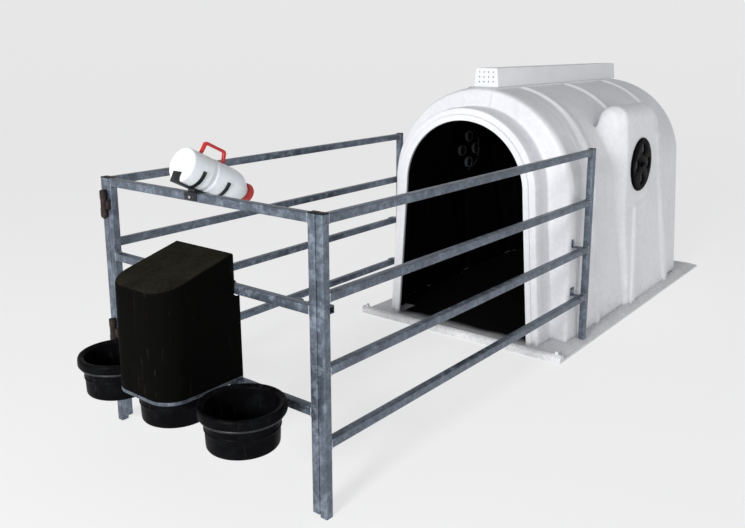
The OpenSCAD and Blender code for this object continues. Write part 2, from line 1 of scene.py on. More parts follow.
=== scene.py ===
"""Looks of a calf hutch with its pen: moulded shell, galvanised tubes, buckets, rain hood and bottle."""

import json
import math

import bmesh
import bpy
import numpy as np
from bpy.props import FloatProperty, FloatVectorProperty, IntProperty, PointerProperty
from mathutils import Matrix, Vector

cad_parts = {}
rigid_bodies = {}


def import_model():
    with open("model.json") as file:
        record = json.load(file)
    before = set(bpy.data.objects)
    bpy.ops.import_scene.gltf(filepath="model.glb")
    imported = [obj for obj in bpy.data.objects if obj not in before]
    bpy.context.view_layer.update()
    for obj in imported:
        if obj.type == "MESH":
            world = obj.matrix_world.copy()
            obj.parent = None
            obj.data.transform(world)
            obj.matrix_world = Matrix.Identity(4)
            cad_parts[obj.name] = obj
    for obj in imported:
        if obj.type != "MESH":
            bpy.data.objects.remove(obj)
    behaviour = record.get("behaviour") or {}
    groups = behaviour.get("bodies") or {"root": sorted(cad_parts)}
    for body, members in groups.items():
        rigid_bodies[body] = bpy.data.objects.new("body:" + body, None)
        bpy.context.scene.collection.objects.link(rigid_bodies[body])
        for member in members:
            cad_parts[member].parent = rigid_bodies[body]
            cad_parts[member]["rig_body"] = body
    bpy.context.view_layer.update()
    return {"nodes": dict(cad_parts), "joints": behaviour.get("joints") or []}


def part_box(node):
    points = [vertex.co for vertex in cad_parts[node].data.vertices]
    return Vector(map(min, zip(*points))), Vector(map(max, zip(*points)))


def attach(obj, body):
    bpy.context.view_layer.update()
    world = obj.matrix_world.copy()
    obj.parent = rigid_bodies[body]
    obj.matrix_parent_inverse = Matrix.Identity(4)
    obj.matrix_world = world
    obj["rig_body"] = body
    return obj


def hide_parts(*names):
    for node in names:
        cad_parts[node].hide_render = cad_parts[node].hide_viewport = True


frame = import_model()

bl_info = {
    "name": "Calf hutch with pen",
    "version": (1, 0, 0),
    "blender": (4, 5, 0),
    "location": "View3D > Sidebar > Hutch",
    "description": "Builds the looks of a calf hutch and its pen on the packed frame",
    "category": "Object",
}

# Places that the frame gives, in metres
TRAY_LOW, TRAY_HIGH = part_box("tray")
SHELL_LOW, SHELL_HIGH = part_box("shell")
RIDGE_LOW, RIDGE_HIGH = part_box("ridge_vent")
VENT_LOW, VENT_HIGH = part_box("right_vent_frame")
FLOOR_Z = SHELL_LOW.z
DOOR_Y = SHELL_LOW.y
REAR_Y = SHELL_HIGH.y
RIDGE_Z = RIDGE_LOW.z
VENT_Y = (VENT_LOW.y + VENT_HIGH.y) / 2
VENT_Z = (VENT_LOW.z + VENT_HIGH.z) / 2


# ---- settings

def colour(name, description, value):
    return FloatVectorProperty(
        name=name, description=description, default=value, size=3, subtype="COLOR", min=0, max=1
    )


def length(name, description, value, low=0.0, high=2.0):
    return FloatProperty(name=name, description=description, default=value, min=low, max=high, unit="LENGTH")


class HutchShellSettings(bpy.types.PropertyGroup):
    """Sizes and colours of the moulded shell and what sits on it"""

    wall: length("Wall", "Thickness of the moulded wall", 0.006, 0.003, 0.012)
    band_height: length("Band height", "How far the three roof bands stand proud", 0.012, 0.004, 0.02)
    band_width: length("Band width", "Width of each roof band along the hutch", 0.05, 0.02, 0.08)
    bead_height: length("Bead height", "How far the arched beads behind the doorway stand proud", 0.008, 0, 0.012)
    rib_height: length("Rib height", "How far the upright ribs on the bays stand proud", 0.011, 0, 0.014)
    plastic: colour("Plastic", "Colour of the moulded shell", (0.83, 0.83, 0.86))
    # The inside colour is painted shade: near black because no light reaches the inner wall.
    inside: colour("Inside", "Colour of the soiled inner wall", (0.0025, 0.0025, 0.0028))
    tray: colour("Tray", "Colour of the floor tray", (0.78, 0.78, 0.80))


class HutchPenSettings(bpy.types.PropertyGroup):
    """Sizes and colours of the pen's steel"""

    corner: length("Tube corner", "Outside corner radius of the square tubes", 0.0028, 0.001, 0.006)
    bead_size: length("Weld bead", "Radius of one ripple in a weld bead", 0.0021, 0.001, 0.004)
    bead_step: length("Weld step", "Distance from one ripple to the next", 0.0032, 0.002, 0.01)
    seed: IntProperty(name="Weld seed", description="Seed of the weld's unevenness", default=7, min=0)
    zinc: colour("Zinc", "Colour of the galvanised coat", (0.135, 0.165, 0.21))
    rust: colour("Rust", "Colour of the rusty hinges", (0.035, 0.020, 0.015))


class HutchFeedSettings(bpy.types.PropertyGroup):
    """Sizes and colours of the buckets, the hood and the bottle"""

    hood_edge: length("Hood edge", "Radius of the hood's moulded edges", 0.009, 0.002, 0.02)
    flutes: IntProperty(name="Cap flutes", description="Number of grip flutes on the bottle's cap", default=36, min=8)
    rubber: colour("Rubber", "Colour of the buckets", (0.0025, 0.0025, 0.003))
    hood: colour("Hood", "Colour of the hood", (0.0025, 0.0024, 0.0022))
    bottle: colour("Bottle", "Colour of the bottle", (0.93, 0.93, 0.95))
    red: colour("Red", "Colour of the bottle's cap and handle", (0.55, 0.015, 0.012))


def settings(part):
    return getattr(bpy.context.scene, f"hutch_{part}")


# ---- shader maths

class Wire:
    """A socket's value in a formula: each operator adds one Math node."""

    def __init__(self, finish, socket):
        self.finish = finish
        self.socket = socket

    def _math(self, operation, first, second=None):
        values = [first] if second is None else [first, second]
        return self.finish.add("ShaderNodeMath", {"operation": operation}, dict(enumerate(values)))

    def __add__(self, other):
        return self._math("ADD", self, other)

    def __radd__(self, other):
        return self._math("ADD", other, self)

    def __sub__(self, other):
        return self._math("SUBTRACT", self, other)

    def __rsub__(self, other):
        return self._math("SUBTRACT", other, self)

    def __mul__(self, other):
        return self._math("MULTIPLY", self, other)

    def __abs__(self):
        return self._math("ABSOLUTE", self)


class Finish:
    """A material under construction. Patterns read the piece's own Object coordinates."""

    def __init__(self, name):
        self.material = bpy.data.materials.new(name)
        self.material.use_nodes = True
        self.tree = self.material.node_tree
        self.tree.nodes.clear()
        self.place = self.add("ShaderNodeTexCoord", output="Object")
        self.x = self.add("ShaderNodeSeparateXYZ", inputs={"Vector": self.place}, output="X")
        self.y, self.z = (Wire(self, self.x.socket.node.outputs[axis]) for axis in "YZ")

    def add(self, kind, options=None, inputs=None, output=0):
        """Adds one node: its options first, then the values or wires of its sockets."""
        node = self.tree.nodes.new(kind)
        for key, value in (options or {}).items():
            setattr(node, key, value)
        for key, value in (inputs or {}).items():
            if isinstance(value, Wire):
                self.tree.links.new(value.socket, node.inputs[key])
            else:
                node.inputs[key].default_value = value
        return Wire(self, node.outputs[output]) if node.outputs else None

    def stretched(self, scale):
        """Object coordinates scaled along each axis."""
        return self.add("ShaderNodeMapping", {}, {"Vector": self.place, "Scale": scale})

    def noise(self, scale, detail=4, roughness=0.55, place=None, distortion=0.0):
        return self.add("ShaderNodeTexNoise", {}, {
            "Vector": place or self.place, "Scale": scale, "Detail": detail,
            "Roughness": roughness, "Distortion": distortion,
        })

    def cells(self, scale, output="Distance"):
        return self.add("ShaderNodeTexVoronoi", {}, {"Vector": self.place, "Scale": scale}, output)

    def ramp(self, value, low, high):
        """0 below low, 1 above high, and smooth between them. low may be above high."""
        return self.add("ShaderNodeMapRange", {"interpolation_type": "SMOOTHSTEP"}, {
            "Value": value, "From Min": low, "From Max": high, "To Min": 0.0, "To Max": 1.0,
        })

    def mixed(self, mask, shade_a, shade_b):
        """Colour a where the mask is 0 and colour b where it is 1."""
        a, b = ((*s, 1) if isinstance(s, tuple) and len(s) == 3 else s for s in (shade_a, shade_b))
        return self.add("ShaderNodeMix", {"data_type": "RGBA"}, {0: mask, 6: a, 7: b}, 2)

    def larger(self, first, second):
        return self.add("ShaderNodeMath", {"operation": "MAXIMUM"}, {0: first, 1: second})

    def facing_up(self):
        """1 on faces that look up, 0 on upright ones."""
        normal = self.add("ShaderNodeNewGeometry", output="Normal")
        upward = self.add("ShaderNodeSeparateXYZ", {}, {"Vector": normal}, "Z")
        return self.ramp(upward, 0.3, 0.9)

    def bump(self, height, distance, strength=1.0, under=None):
        inputs = {"Height": height, "Distance": distance, "Strength": strength}
        if under is not None:
            inputs["Normal"] = under
        return self.add("ShaderNodeBump", {}, inputs)

    def close(self, **inputs):
        """Ends the material in one Principled BSDF and returns the material."""
        named = {key.replace("_", " "): value for key, value in inputs.items()}
        shade = self.add("ShaderNodeBsdfPrincipled", {}, named, "BSDF")
        self.add("ShaderNodeOutputMaterial", {}, {"Surface": shade})
        return self.material


def rgb(value):
    return (*value, 1.0)


def scaled(value, factor):
    return tuple(min(1.0, c * factor) for c in value) + (1.0,)


# ---- finishes

def shell_plastic():
    """White rotomoulded plastic: clouded, faintly pebbled, splashed and grey towards its foot."""
    base = settings("shell").plastic
    f = Finish("shell_plastic")
    clouds = f.ramp(f.noise(3.2, 5, 0.6), 0.36, 0.66)
    mottle = f.ramp(f.noise(38, 4, 0.65), 0.36, 0.64)
    shade = f.mixed(clouds * 0.45, rgb(base), (0.70, 0.72, 0.75))
    shade = f.mixed(mottle * 0.30, shade, (0.66, 0.68, 0.71))
    foot = f.ramp(f.z + f.noise(7, 3) * 0.16, 0.26, 0.06)
    splash = f.ramp(f.noise(22, 6, 0.75), 0.50, 0.62) * foot
    shade = f.mixed(splash * 0.42, shade, (0.40, 0.38, 0.34))
    streaks = f.ramp(f.noise(1.0, 4, 0.6, f.stretched((26, 26, 1.4))), 0.56, 0.74)
    shade = f.mixed(streaks * 0.14, shade, (0.50, 0.51, 0.52))
    pebble = f.noise(160, 3, 0.6)
    dents = f.noise(9, 3, 0.5)
    normal = f.bump(dents, 0.004, 0.35, f.bump(pebble, 0.0008, 0.35))
    return f.close(Base_Color=shade, Roughness=0.46 + mottle * 0.14, Normal=normal)


def worn(name, grain, edge, shades, rough, relief, share=1.0, **rest):
    """A finish with one layer of wear.

    grain is the wear's noise and edge where it starts and is full. rough is the roughness and what the wear
    adds. relief is the scale of the bump's noise (None takes the wear itself), its distance and its strength.
    """
    f = Finish(name)
    wear = f.ramp(f.noise(*grain), *edge)
    scale, distance, strength = relief
    height = wear if scale is None else f.noise(scale, 3)
    return f.close(
        Base_Color=f.mixed(wear * share, *shades), Roughness=rough[0] + wear * rough[1],
        Normal=f.bump(height, distance, strength), **rest,
    )


def shell_inside_painted_shade():
    """The inner wall, painted near black as painted shade since the light does not reach it, with faint lighter
    patches.
    """
    base = settings("shell").inside
    return worn(
        "shell_inside_painted_shade", (6, 6, 0.7), (0.4, 0.7), (rgb(base), scaled(base, 1.8)), (0.95, -0.1), (120, 0.0006, 0.3),
        Specular_IOR_Level=0.04,
    )


def vent_plastic():
    """The ridge vent's smoother, whiter sheet."""
    f = Finish("vent_plastic")
    clouds = f.ramp(f.noise(5, 5, 0.6), 0.38, 0.68)
    specks = f.ramp(f.noise(60, 4, 0.7), 0.58, 0.72)
    shade = f.mixed(clouds * 0.4, (0.84, 0.85, 0.87), (0.72, 0.74, 0.77))
    shade = f.mixed(specks * 0.22, shade, (0.52, 0.52, 0.54))
    return f.close(Base_Color=shade, Roughness=0.42 + specks * 0.2, Normal=f.bump(f.noise(140, 3), 0.0006, 0.25))


def tray_plastic():
    """Grey speckled floor tray, painted near black as painted shade where it lies under the shell."""
    base = settings("shell").tray
    f = Finish("tray_plastic")
    speck = f.ramp(f.noise(95, 4, 0.75), 0.47, 0.60)
    patches = f.ramp(f.noise(5, 5, 0.65), 0.36, 0.66)
    shade = f.mixed(patches * 0.4, rgb(base), scaled(base, 0.72))
    shade = f.mixed(speck * 0.35, shade, scaled(base, 0.50))
    grit = f.ramp(f.noise(210, 2, 0.5), 0.62, 0.70)
    shade = f.mixed(grit * 0.35, shade, (0.72, 0.71, 0.68))
    across = abs(f.x)
    # The tray under the shell's doorway, chamber and bays is painted shade; where the bays narrow it shows past their
    # foot as a thin painted shadow.
    doorway = f.ramp(across, 0.400, 0.385) * f.ramp(f.y + f.noise(8, 3) * 0.05, DOOR_Y, DOOR_Y + 0.1)
    chamber = f.ramp(across, 0.545, 0.540) * f.ramp(f.y, DOOR_Y + 0.15, DOOR_Y + 0.16) * f.ramp(f.y, 0.78, 0.75)
    bays = f.ramp(across, 0.562, 0.558) * f.ramp(f.y, DOOR_Y + 0.90, DOOR_Y + 0.92) * f.ramp(f.y, 0.62, 0.58)
    under = f.larger(doorway, f.larger(chamber, bays)) * f.ramp(f.y, 0.88, 0.86)
    straw = f.ramp(f.noise(1, 5, 0.7, f.stretched((70, 22, 40)), 1.2), 0.56, 0.66)
    # Near-black painted shade with a faint straw pattern in it.
    litter_in_painted_shade = f.mixed(straw * 0.5, (0.003, 0.003, 0.003), (0.016, 0.014, 0.012))
    shade = f.mixed(under, shade, litter_in_painted_shade)
    normal = f.bump(speck, 0.0012, 0.5, f.bump(f.noise(320, 2), 0.0005, 0.4))
    return f.close(Base_Color=shade, Roughness=0.78 + speck * 0.2, Specular_IOR_Level=0.12, Normal=normal)


def galvanised(name, painted_shade_factor=1.0):
    """Hot-dip zinc gone dull: spangle, white bloom, dark patches and greyer edges of grime."""
    base = settings("pen").zinc
    f = Finish(name)
    spangle = f.cells(110, "Color")
    facet = f.add("ShaderNodeSeparateColor", {}, {"Color": spangle}, "Red")
    bloom = f.ramp(f.noise(26, 6, 0.72), 0.44, 0.66)
    patches = f.ramp(f.noise(9, 5, 0.65), 0.42, 0.64)
    grime = f.ramp(f.noise(55, 5, 0.7), 0.55, 0.68)
    # painted_shade_factor darkens the whole zinc as painted shade: 1 on the tubes, 0.7 on the hoop.
    shade = f.mixed(facet * 0.55, scaled(base, 0.74 * painted_shade_factor), scaled(base, 1.30 * painted_shade_factor))
    shade = f.mixed(bloom * 0.50, shade, scaled((0.30, 0.35, 0.42), painted_shade_factor))
    shade = f.mixed(patches * 0.50, shade, scaled(base, 0.45 * painted_shade_factor))
    shade = f.mixed(grime * 0.30, shade, (0.05, 0.055, 0.06))
    metal = 0.72 - bloom * 0.35 - grime * 0.2
    rough = 0.38 + bloom * 0.22 + grime * 0.15
    normal = f.bump(f.noise(75, 5, 0.65), 0.0008, 0.35)
    return f.close(Base_Color=shade, Metallic=metal, Roughness=rough, Normal=normal)


def weld_metal():
    """Weld ripples under the zinc: brighter crests and dark hollows."""
    return worn(
        "weld_zinc", (140, 4, 0.7), (0.40, 0.62), ((0.20, 0.22, 0.25), (0.50, 0.53, 0.57)), (0.52, 0.1),
        (None, 0.0004, 0.4), Metallic=0.55,
    )


def rusty_steel():
    """Dark, scaly, rusted hinge steel with bare worn edges."""
    base = settings("pen").rust
    f = Finish("rusty_steel")
    scale = f.ramp(f.noise(70, 6, 0.75), 0.40, 0.62)
    orange = f.ramp(f.noise(34, 5, 0.7), 0.50, 0.68)
    shade = f.mixed(scale, (0.010, 0.009, 0.009), rgb(base))
    shade = f.mixed(orange * 0.5, shade, (0.085, 0.038, 0.018))
    return f.close(
        Base_Color=shade, Metallic=0.35 - orange * 0.3, Roughness=0.72 + orange * 0.18,
        Normal=f.bump(f.noise(150, 5, 0.7), 0.0012, 0.6),
    )


def dark_steel():
    """Blackened strip steel, scuffed to grey."""
    return worn(
        "dark_steel", (60, 6, 0.75), (0.52, 0.66), ((0.020, 0.022, 0.025), (0.075, 0.08, 0.088)), (0.42, 0.2),
        (180, 0.0005, 0.3), Metallic=0.6,
    )


def bright_zinc():
    """Plated bolts, pins and rivets."""
    return worn(
        "bright_zinc", (90, 5, 0.7), (0.42, 0.64), ((0.62, 0.63, 0.64), (0.36, 0.36, 0.35)), (0.3, 0.25),
        (None, 0.0003, 0.3), Metallic=0.9,
    )


def cap_plastic():
    """Black plastic plugs in the posts, dusty on top."""
    f = Finish("cap_plastic")
    dust = f.facing_up() * f.ramp(f.noise(60, 5, 0.7), 0.35, 0.7)
    shade = f.mixed(dust * 0.4, (0.005, 0.005, 0.006), (0.05, 0.05, 0.055))
    return f.close(
        Base_Color=shade, Roughness=0.45 + dust * 0.3, Specular_IOR_Level=0.2,
        Normal=f.bump(f.noise(200, 3), 0.0004, 0.3),
    )


def vent_black():
    """Gloss black moulded vent parts with faint moulding swirl."""
    return worn(
        "vent_black", (30, 5, 0.65), (0.45, 0.7), ((0.002, 0.002, 0.003), (0.007, 0.007, 0.009)), (0.36, 0.16),
        (110, 0.0004, 0.2), 0.6, Specular_IOR_Level=0.01,
    )


def collar_painted_glint():
    """Grey collars behind the vent's holes, paler than the black vent as a painted glint on the holes' rims."""
    return worn(
        "collar_painted_glint", (40, 4, 0.6), (0.4, 0.7), ((0.20, 0.21, 0.23), (0.12, 0.13, 0.14)), (0.5, 0.1),
        (None, 0.0003, 0.2),
    )


def screen_mesh():
    """Dusty fly screen behind the vent's holes."""
    f = Finish("fly_screen")
    dust = f.ramp(f.noise(70, 5, 0.7), 0.4, 0.7)
    weave = f.cells(900)
    shade = f.mixed(dust, (0.010, 0.011, 0.012), (0.030, 0.032, 0.034))
    return f.close(
        Base_Color=shade, Roughness=0.8 + dust * 0.1, Specular_IOR_Level=0.1, Normal=f.bump(weave, 0.0004, 0.5),
    )


def bucket_rubber():
    """Semi-gloss black recycled rubber: lighter bluish clouds as a painted sheen, scuffs and dried splashes."""
    base = settings("feed").rubber
    f = Finish("bucket_rubber")
    scuff = f.ramp(f.noise(1, 6, 0.75, f.stretched((30, 30, 9))), 0.57, 0.70)
    # cloud: random lighter bluish patches, a painted sheen.
    cloud = f.ramp(f.noise(14, 5, 0.65), 0.42, 0.68)
    dust = f.facing_up() * f.ramp(f.noise(45, 5, 0.7), 0.45, 0.7)
    shade = f.mixed(cloud * 0.6, rgb(base), (0.006, 0.0065, 0.008))
    shade = f.mixed(scuff * 0.35, shade, (0.028, 0.028, 0.031))
    shade = f.mixed(dust * 0.2, shade, (0.03, 0.03, 0.029))
    rough = 0.36 + cloud * 0.14 + scuff * 0.2
    normal = f.bump(f.noise(24, 4, 0.6), 0.0022, 0.4, f.bump(f.noise(170, 3), 0.0006, 0.35))
    return f.close(Base_Color=shade, Roughness=rough, Specular_IOR_Level=0.02, Normal=normal)


def hood_plastic():
    """Matt black moulded hood: brown dust on its roof, upright scrapes and grease on its sides."""
    base = settings("feed").hood
    f = Finish("hood_plastic")
    up = f.facing_up()
    film = f.ramp(f.noise(11, 6, 0.7), 0.30, 0.70)
    grain = f.ramp(f.noise(85, 5, 0.7), 0.40, 0.64)
    roof = f.mixed(film, (0.008, 0.0075, 0.005), (0.018, 0.017, 0.012))
    roof = f.mixed(grain * 0.4, roof, (0.026, 0.025, 0.018))
    scrapes = f.ramp(f.noise(1, 6, 0.78, f.stretched((32, 32, 3.2)), 0.6), 0.57, 0.72)
    patch = f.ramp(f.noise(5.5, 4, 0.6), 0.42, 0.62)
    walls = f.mixed(scrapes * patch * 0.7, rgb(base), (0.030, 0.024, 0.020))
    pale = f.ramp(f.noise(1, 5, 0.7, f.stretched((55, 55, 6))), 0.62, 0.72) * patch
    walls = f.mixed(pale * 0.35, walls, (0.07, 0.066, 0.062))
    shade = f.mixed(up, walls, roof)
    rough = 0.52 + film * 0.14 + up * 0.12
    normal = f.bump(f.noise(13, 4, 0.6), 0.003, 0.4, f.bump(f.noise(190, 3), 0.0006, 0.4))
    return f.close(Base_Color=shade, Roughness=rough, Specular_IOR_Level=0.01, Normal=normal)


def bottle_plastic():
    """White satin bottle plastic, a little milky and handled."""
    base = settings("feed").bottle
    f = Finish("bottle_plastic")
    cloud = f.ramp(f.noise(18, 5, 0.65), 0.40, 0.68)
    marks = f.ramp(f.noise(70, 5, 0.75), 0.60, 0.72)
    shade = f.mixed(cloud * 0.35, rgb(base), (0.70, 0.70, 0.73))
    shade = f.mixed(marks * 0.25, shade, (0.48, 0.46, 0.44))
    return f.close(
        Base_Color=shade, Roughness=0.34 + cloud * 0.12, Subsurface_Weight=0.12,
        Normal=f.bump(f.noise(60, 3), 0.0008, 0.25),
    )


def red_plastic():
    """Red moulded cap and handle, faded at its wear spots."""
    return worn(
        "red_plastic", (50, 5, 0.7), (0.52, 0.70), (rgb(settings("feed").red), (0.62, 0.09, 0.07)), (0.32, 0.2),
        (130, 0.0005, 0.25), 0.45,
    )


FINISHES = {
    "shell": shell_plastic,
    "inside": shell_inside_painted_shade,
    "vent": vent_plastic,
    "tray": tray_plastic,
    "galvanised": lambda: galvanised("galvanised_tube"),
    # The hoop is the tube zinc darkened as painted shade.
    "hoop": lambda: galvanised("galvanised_hoop_painted_shade", 0.7),
    "weld": weld_metal,
    "rusty_steel": rusty_steel,
    "dark_steel": dark_steel,
    "zinc": bright_zinc,
    "cap_plastic": cap_plastic,
    "vent_black": vent_black,
    "collar": collar_painted_glint,
    "screen": screen_mesh,
    "bucket": bucket_rubber,
    "hood": hood_plastic,
    "bottle": bottle_plastic,
    "red": red_plastic,
}
_made = {}


def material(name):
    """Each finish is made once, when a piece first needs it."""
    if name not in _made:
        _made[name] = FINISHES[name]()
    return _made[name]


# ---- meshes and pieces

def body_of(node):
    return frame["nodes"][node]["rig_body"]


def new_piece(name, mesh, body, finish, replaces=()):
    """Links a finished mesh as a piece that rides on a body."""
    piece = bpy.data.objects.new(name, mesh)
    bpy.context.scene.collection.objects.link(piece)
    if not mesh.materials:
        mesh.materials.append(material(finish))
    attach(piece, body)
    if replaces:
        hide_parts(*replaces)
    return piece


def smooth_by_angle(bm, angle=0.6):
    """Shades smooth, with hard edges only where two faces meet sharply."""
    for face in bm.faces:
        face.smooth = True
    for edge in bm.edges:
        edge.smooth = len(edge.link_faces) == 2 and edge.calc_face_angle(0) < angle


def to_mesh(bm, name, finishes=()):
    mesh = bpy.data.meshes.new(name)
    bm.to_mesh(mesh)
    bm.free()
    for finish in finishes:
        mesh.materials.append(material(finish))
    return mesh


def merged_copy(node):
    """A copy of a CAD node's mesh with its loose triangles joined into flat faces."""
    bm = bmesh.new()
    bm.from_mesh(frame["nodes"][node].data)
    bmesh.ops.remove_doubles(bm, verts=bm.verts, dist=0.00002)
    bmesh.ops.dissolve_limit(
        bm, angle_limit=math.radians(0.6), verts=bm.verts, edges=bm.edges, use_dissolve_boundaries=False
    )
    return bm


def replace_node(node, bm, finish, angle=0.6):
    """Puts a finished form in the place of one CAD node, on its body."""
    smooth_by_angle(bm, angle)
    mesh = to_mesh(bm, f"{node}_mesh", [finish])
    return new_piece(f"{node}_piece", mesh, body_of(node), finish, [node])


def softened(node, finish, width, shortest=0.0, keep=None, segments=3):
    """Replaces a CAD node with a copy whose long or chosen outer edges are rounded."""
    bm = merged_copy(node)
    edges = [
        e for e in bm.edges
        if len(e.link_faces) == 2 and e.calc_face_angle_signed(0) > 0.5 and e.calc_length() > shortest
        and (keep is None or keep(e))
    ]
    if edges:
        bmesh.ops.bevel(
            bm, geom=edges, offset=width, offset_type="OFFSET", segments=segments, profile=0.5,
            affect="EDGES", clamp_overlap=True,
        )
    return replace_node(node, bm, finish)


def turned(profile, centre, axis, segments=96):
    """A mesh turned about an axis from (radius, distance along the axis) points. Ends at radius 0 are closed."""
    bm = bmesh.new()
    axis = Vector(axis).normalized()
    across = axis.orthogonal().normalized()
    up = axis.cross(across)
    rings = []
    for radius, along in profile:
        middle = Vector(centre) + axis * along
        if radius < 1e-6:
            rings.append([bm.verts.new(middle)])
            continue
        ring = []
        for i in range(segments):
            turn = math.tau * i / segments
            ring.append(bm.verts.new(middle + (across * math.cos(turn) + up * math.sin(turn)) * radius))
        rings.append(ring)
    for low, high in zip(rings, rings[1:]):
        if len(low) == len(high) == 1:
            continue
        for i in range(segments):
            k = (i + 1) % segments
            if len(low) == 1:
                bm.faces.new((low[0], high[k], high[i]))
            elif len(high) == 1:
                bm.faces.new((low[i], low[k], high[0]))
            else:
                bm.faces.new((low[i], low[k], high[k], high[i]))
    bmesh.ops.remove_doubles(bm, verts=bm.verts, dist=1e-6)
    bmesh.ops.recalc_face_normals(bm, faces=bm.faces)
    return bm


def rounded(points, radii, steps=5):
    """Rounds an outline's corners: each corner becomes a short curve that starts its radius away."""
    out = [points[0]]
    for a, b, c, radius in zip(points, points[1:], points[2:], radii):
        a, b, c = (np.array(p, float) for p in (a, b, c))
        reach = min(radius, 0.48 * np.linalg.norm(a - b), 0.48 * np.linalg.norm(c - b))
        if reach < 1e-6:
            out.append(tuple(b))
            continue
        start = b + (a - b) / np.linalg.norm(a - b) * reach
        end = b + (c - b) / np.linalg.norm(c - b) * reach
        for t in np.linspace(0, 1, steps):
            out.append(tuple((1 - t) ** 2 * start + 2 * t * (1 - t) * b + t * t * end))
    out.append(points[-1])
    return out


def step(value, low, high):
    """Smooth 0 to 1 as value goes from low to high, for arrays."""
    t = np.clip((value - low) / (high - low), 0, 1)
    return t * t * (3 - 2 * t)


def ridge(value, centre, width, edge):
    """1 within width of centre, falling smoothly to 0 over the edge."""
    return 1 - step(np.abs(value - centre), width / 2 - edge / 2, width / 2 + edge / 2)


# ---- shell

class ShellForm:
    """The shell's outer surface as a loft of arched outlines from the doorway to the rear."""

    SIDE, LOW, HIGH, PLINTH, TOP = 34, 46, 30, 3, 7
    ROOF_R, ROOF_Z, HALF_W = 0.530, 0.750, 0.545
    DOOR_R, DOOR_Z, DOOR_HALF_W = 0.345, 0.780, 0.394
    FLANGE_W, STEP_R, STEP_HALF_W = 0.030, 0.408, 0.456
    BAY_X, CROWN_R, CROWN_Z = 0.565, 0.075, 1.100
    SLOT_HALF_W, PLINTH_HALF_W = 0.030, 0.086
    # Arched beads behind the doorway: distance from it, share of the full height
    BEADS = ((0.040, 0.9), (0.080, 0.9), (0.118, 0.6), (0.195, 1.0), (0.240, 1.0), (0.290, 1.1), (0.345, 0.8))
    BEAD_HALF_W = 0.0105
    # The tray's sloping margin, which the shell's foot follows: its width and its fall
    MARGIN_W, MARGIN_FALL = 0.045, 0.4
    MOUTH_DEPTH, PAD_HEIGHT = 0.026, 0.006

    def __init__(self):
        s = settings("shell")
        self.band_height, self.band_width = s.band_height, s.band_width
        self.bead_height, self.rib_height = s.bead_height, s.rib_height
        self.step_1, self.step_2 = DOOR_Y + 0.012, DOOR_Y + 0.148
        self.bay_front, self.turn_y = DOOR_Y + 0.785, REAR_Y - 0.180
        self.bands = [DOOR_Y + 0.445, DOOR_Y + 0.975, DOOR_Y + 1.530]
        self.valley = math.acos((self.BAY_X - 2 * self.CROWN_R) / self.ROOF_R)

    def stations(self):
        """Rows of (y, half width, arch radius, arch centre height) along the shell's skin."""
        door = (self.DOOR_HALF_W, self.DOOR_R, self.DOOR_Z)
        flange = (self.DOOR_HALF_W + self.FLANGE_W, self.DOOR_R + self.FLANGE_W, self.DOOR_Z)
        inner = (self.STEP_HALF_W, self.STEP_R, self.DOOR_Z)
        main = (self.HALF_W, self.ROOF_R, self.ROOF_Z)
        corners = [
            (DOOR_Y + 0.018, *door), (DOOR_Y, *door), (DOOR_Y, *flange), (self.step_1, *flange),
            (self.step_1, *inner), (self.step_2, *inner), (self.step_2, *main), (self.bands[0] - 0.1, *main),
        ]
        front = rounded(corners, [0.005, 0.006, 0.005, 0.010, 0.018, 0.030], 5)
        front = self._filled(front, 0.022)
        turn = self.turn_y
        middle = [(y, *self._main_at(y)) for y in self._row_places(front[-1][0] + 0.02, turn)]
        rear = []
        reach = REAR_Y - 0.002
        for t in np.linspace(0.03, 1, 16):
            y = (1 - t) ** 2 * turn + 2 * t * (1 - t) * reach + t * t * reach
            inset = t * t * 0.16
            half_w, radius, centre = self._main_at(y)
            rear.append((y, half_w - inset, radius - inset, centre))
        last = rear[-1]
        for share in (0.86, 0.68, 0.46, 0.22, 0.0):
            rear.append((
                last[0] + 0.002 * (1 - share), last[1] * share, last[2] * share,
                FLOOR_Z + (self.ROOF_Z - FLOOR_Z) * share,
            ))
        return np.array(front + middle + rear)

    def _main_at(self, y):
        """Half width, arch radius and arch centre of the main body, which narrows a little to the rear."""
        less = 0.030 * float(step(y, 0.25, 0.85))
        return self.HALF_W - 0.2 * less, self.ROOF_R - less, self.ROOF_Z + less

    @staticmethod
    def _filled(rows, longest):
        """Adds rows so that no two are further apart than longest."""
        out = [rows[0]]
        for a, b in zip(rows, rows[1:]):
            a, b = np.array(a), np.array(b)
            count = max(1, math.ceil(max(abs(a - b)) / longest))
            out += [tuple(a + (b - a) * (i + 1) / count) for i in range(count)]
        return out

    def _row_places(self, start, end):
        """Places along the shell, close together where a band or a bay begins or ends."""
        fine = [b + s * (self.band_width / 2) for b in self.bands for s in (-1, 1)]
        fine += [self.bay_front - 0.02, self.bay_front + 0.02, self.bay_front + 0.06, self.bay_front + 0.10]
        places, y = [], start
        while y < end:
            places.append(y)
            gap = min(abs(y - p) for p in fine)
            y += 0.0065 if gap < 0.012 else (0.011 if gap < 0.03 else 0.019)
        return places + [end]

    def _bay_outline(self):
        """Outline of the bay's upper half: wall, round crown, and the flank down to the valley."""
        points = [(self.BAY_X, self.ROOF_Z + (self.CROWN_Z - self.ROOF_Z) * t) for t in np.linspace(0, 1, 20)]
        middle = self.BAY_X - self.CROWN_R
        for turn in np.linspace(0, math.pi, 40)[1:]:
            points.append((middle + self.CROWN_R * math.cos(turn), self.CROWN_Z + self.CROWN_R * math.sin(turn)))
        x = self.BAY_X - 2 * self.CROWN_R
        foot = self.ROOF_Z + math.sqrt(self.ROOF_R ** 2 - x ** 2)
        points += [(x - 0.004 * t, self.CROWN_Z + (foot - self.CROWN_Z) * t) for t in (0.25, 0.5, 0.75, 1.0)]
        points = np.array(points)
        walk = np.r_[0, np.cumsum(np.linalg.norm(np.diff(points, axis=0), axis=1))]
        share = np.linspace(0, walk[-1], self.LOW, endpoint=False)
        return np.c_[np.interp(share, walk, points[:, 0]), np.interp(share, walk, points[:, 1])]

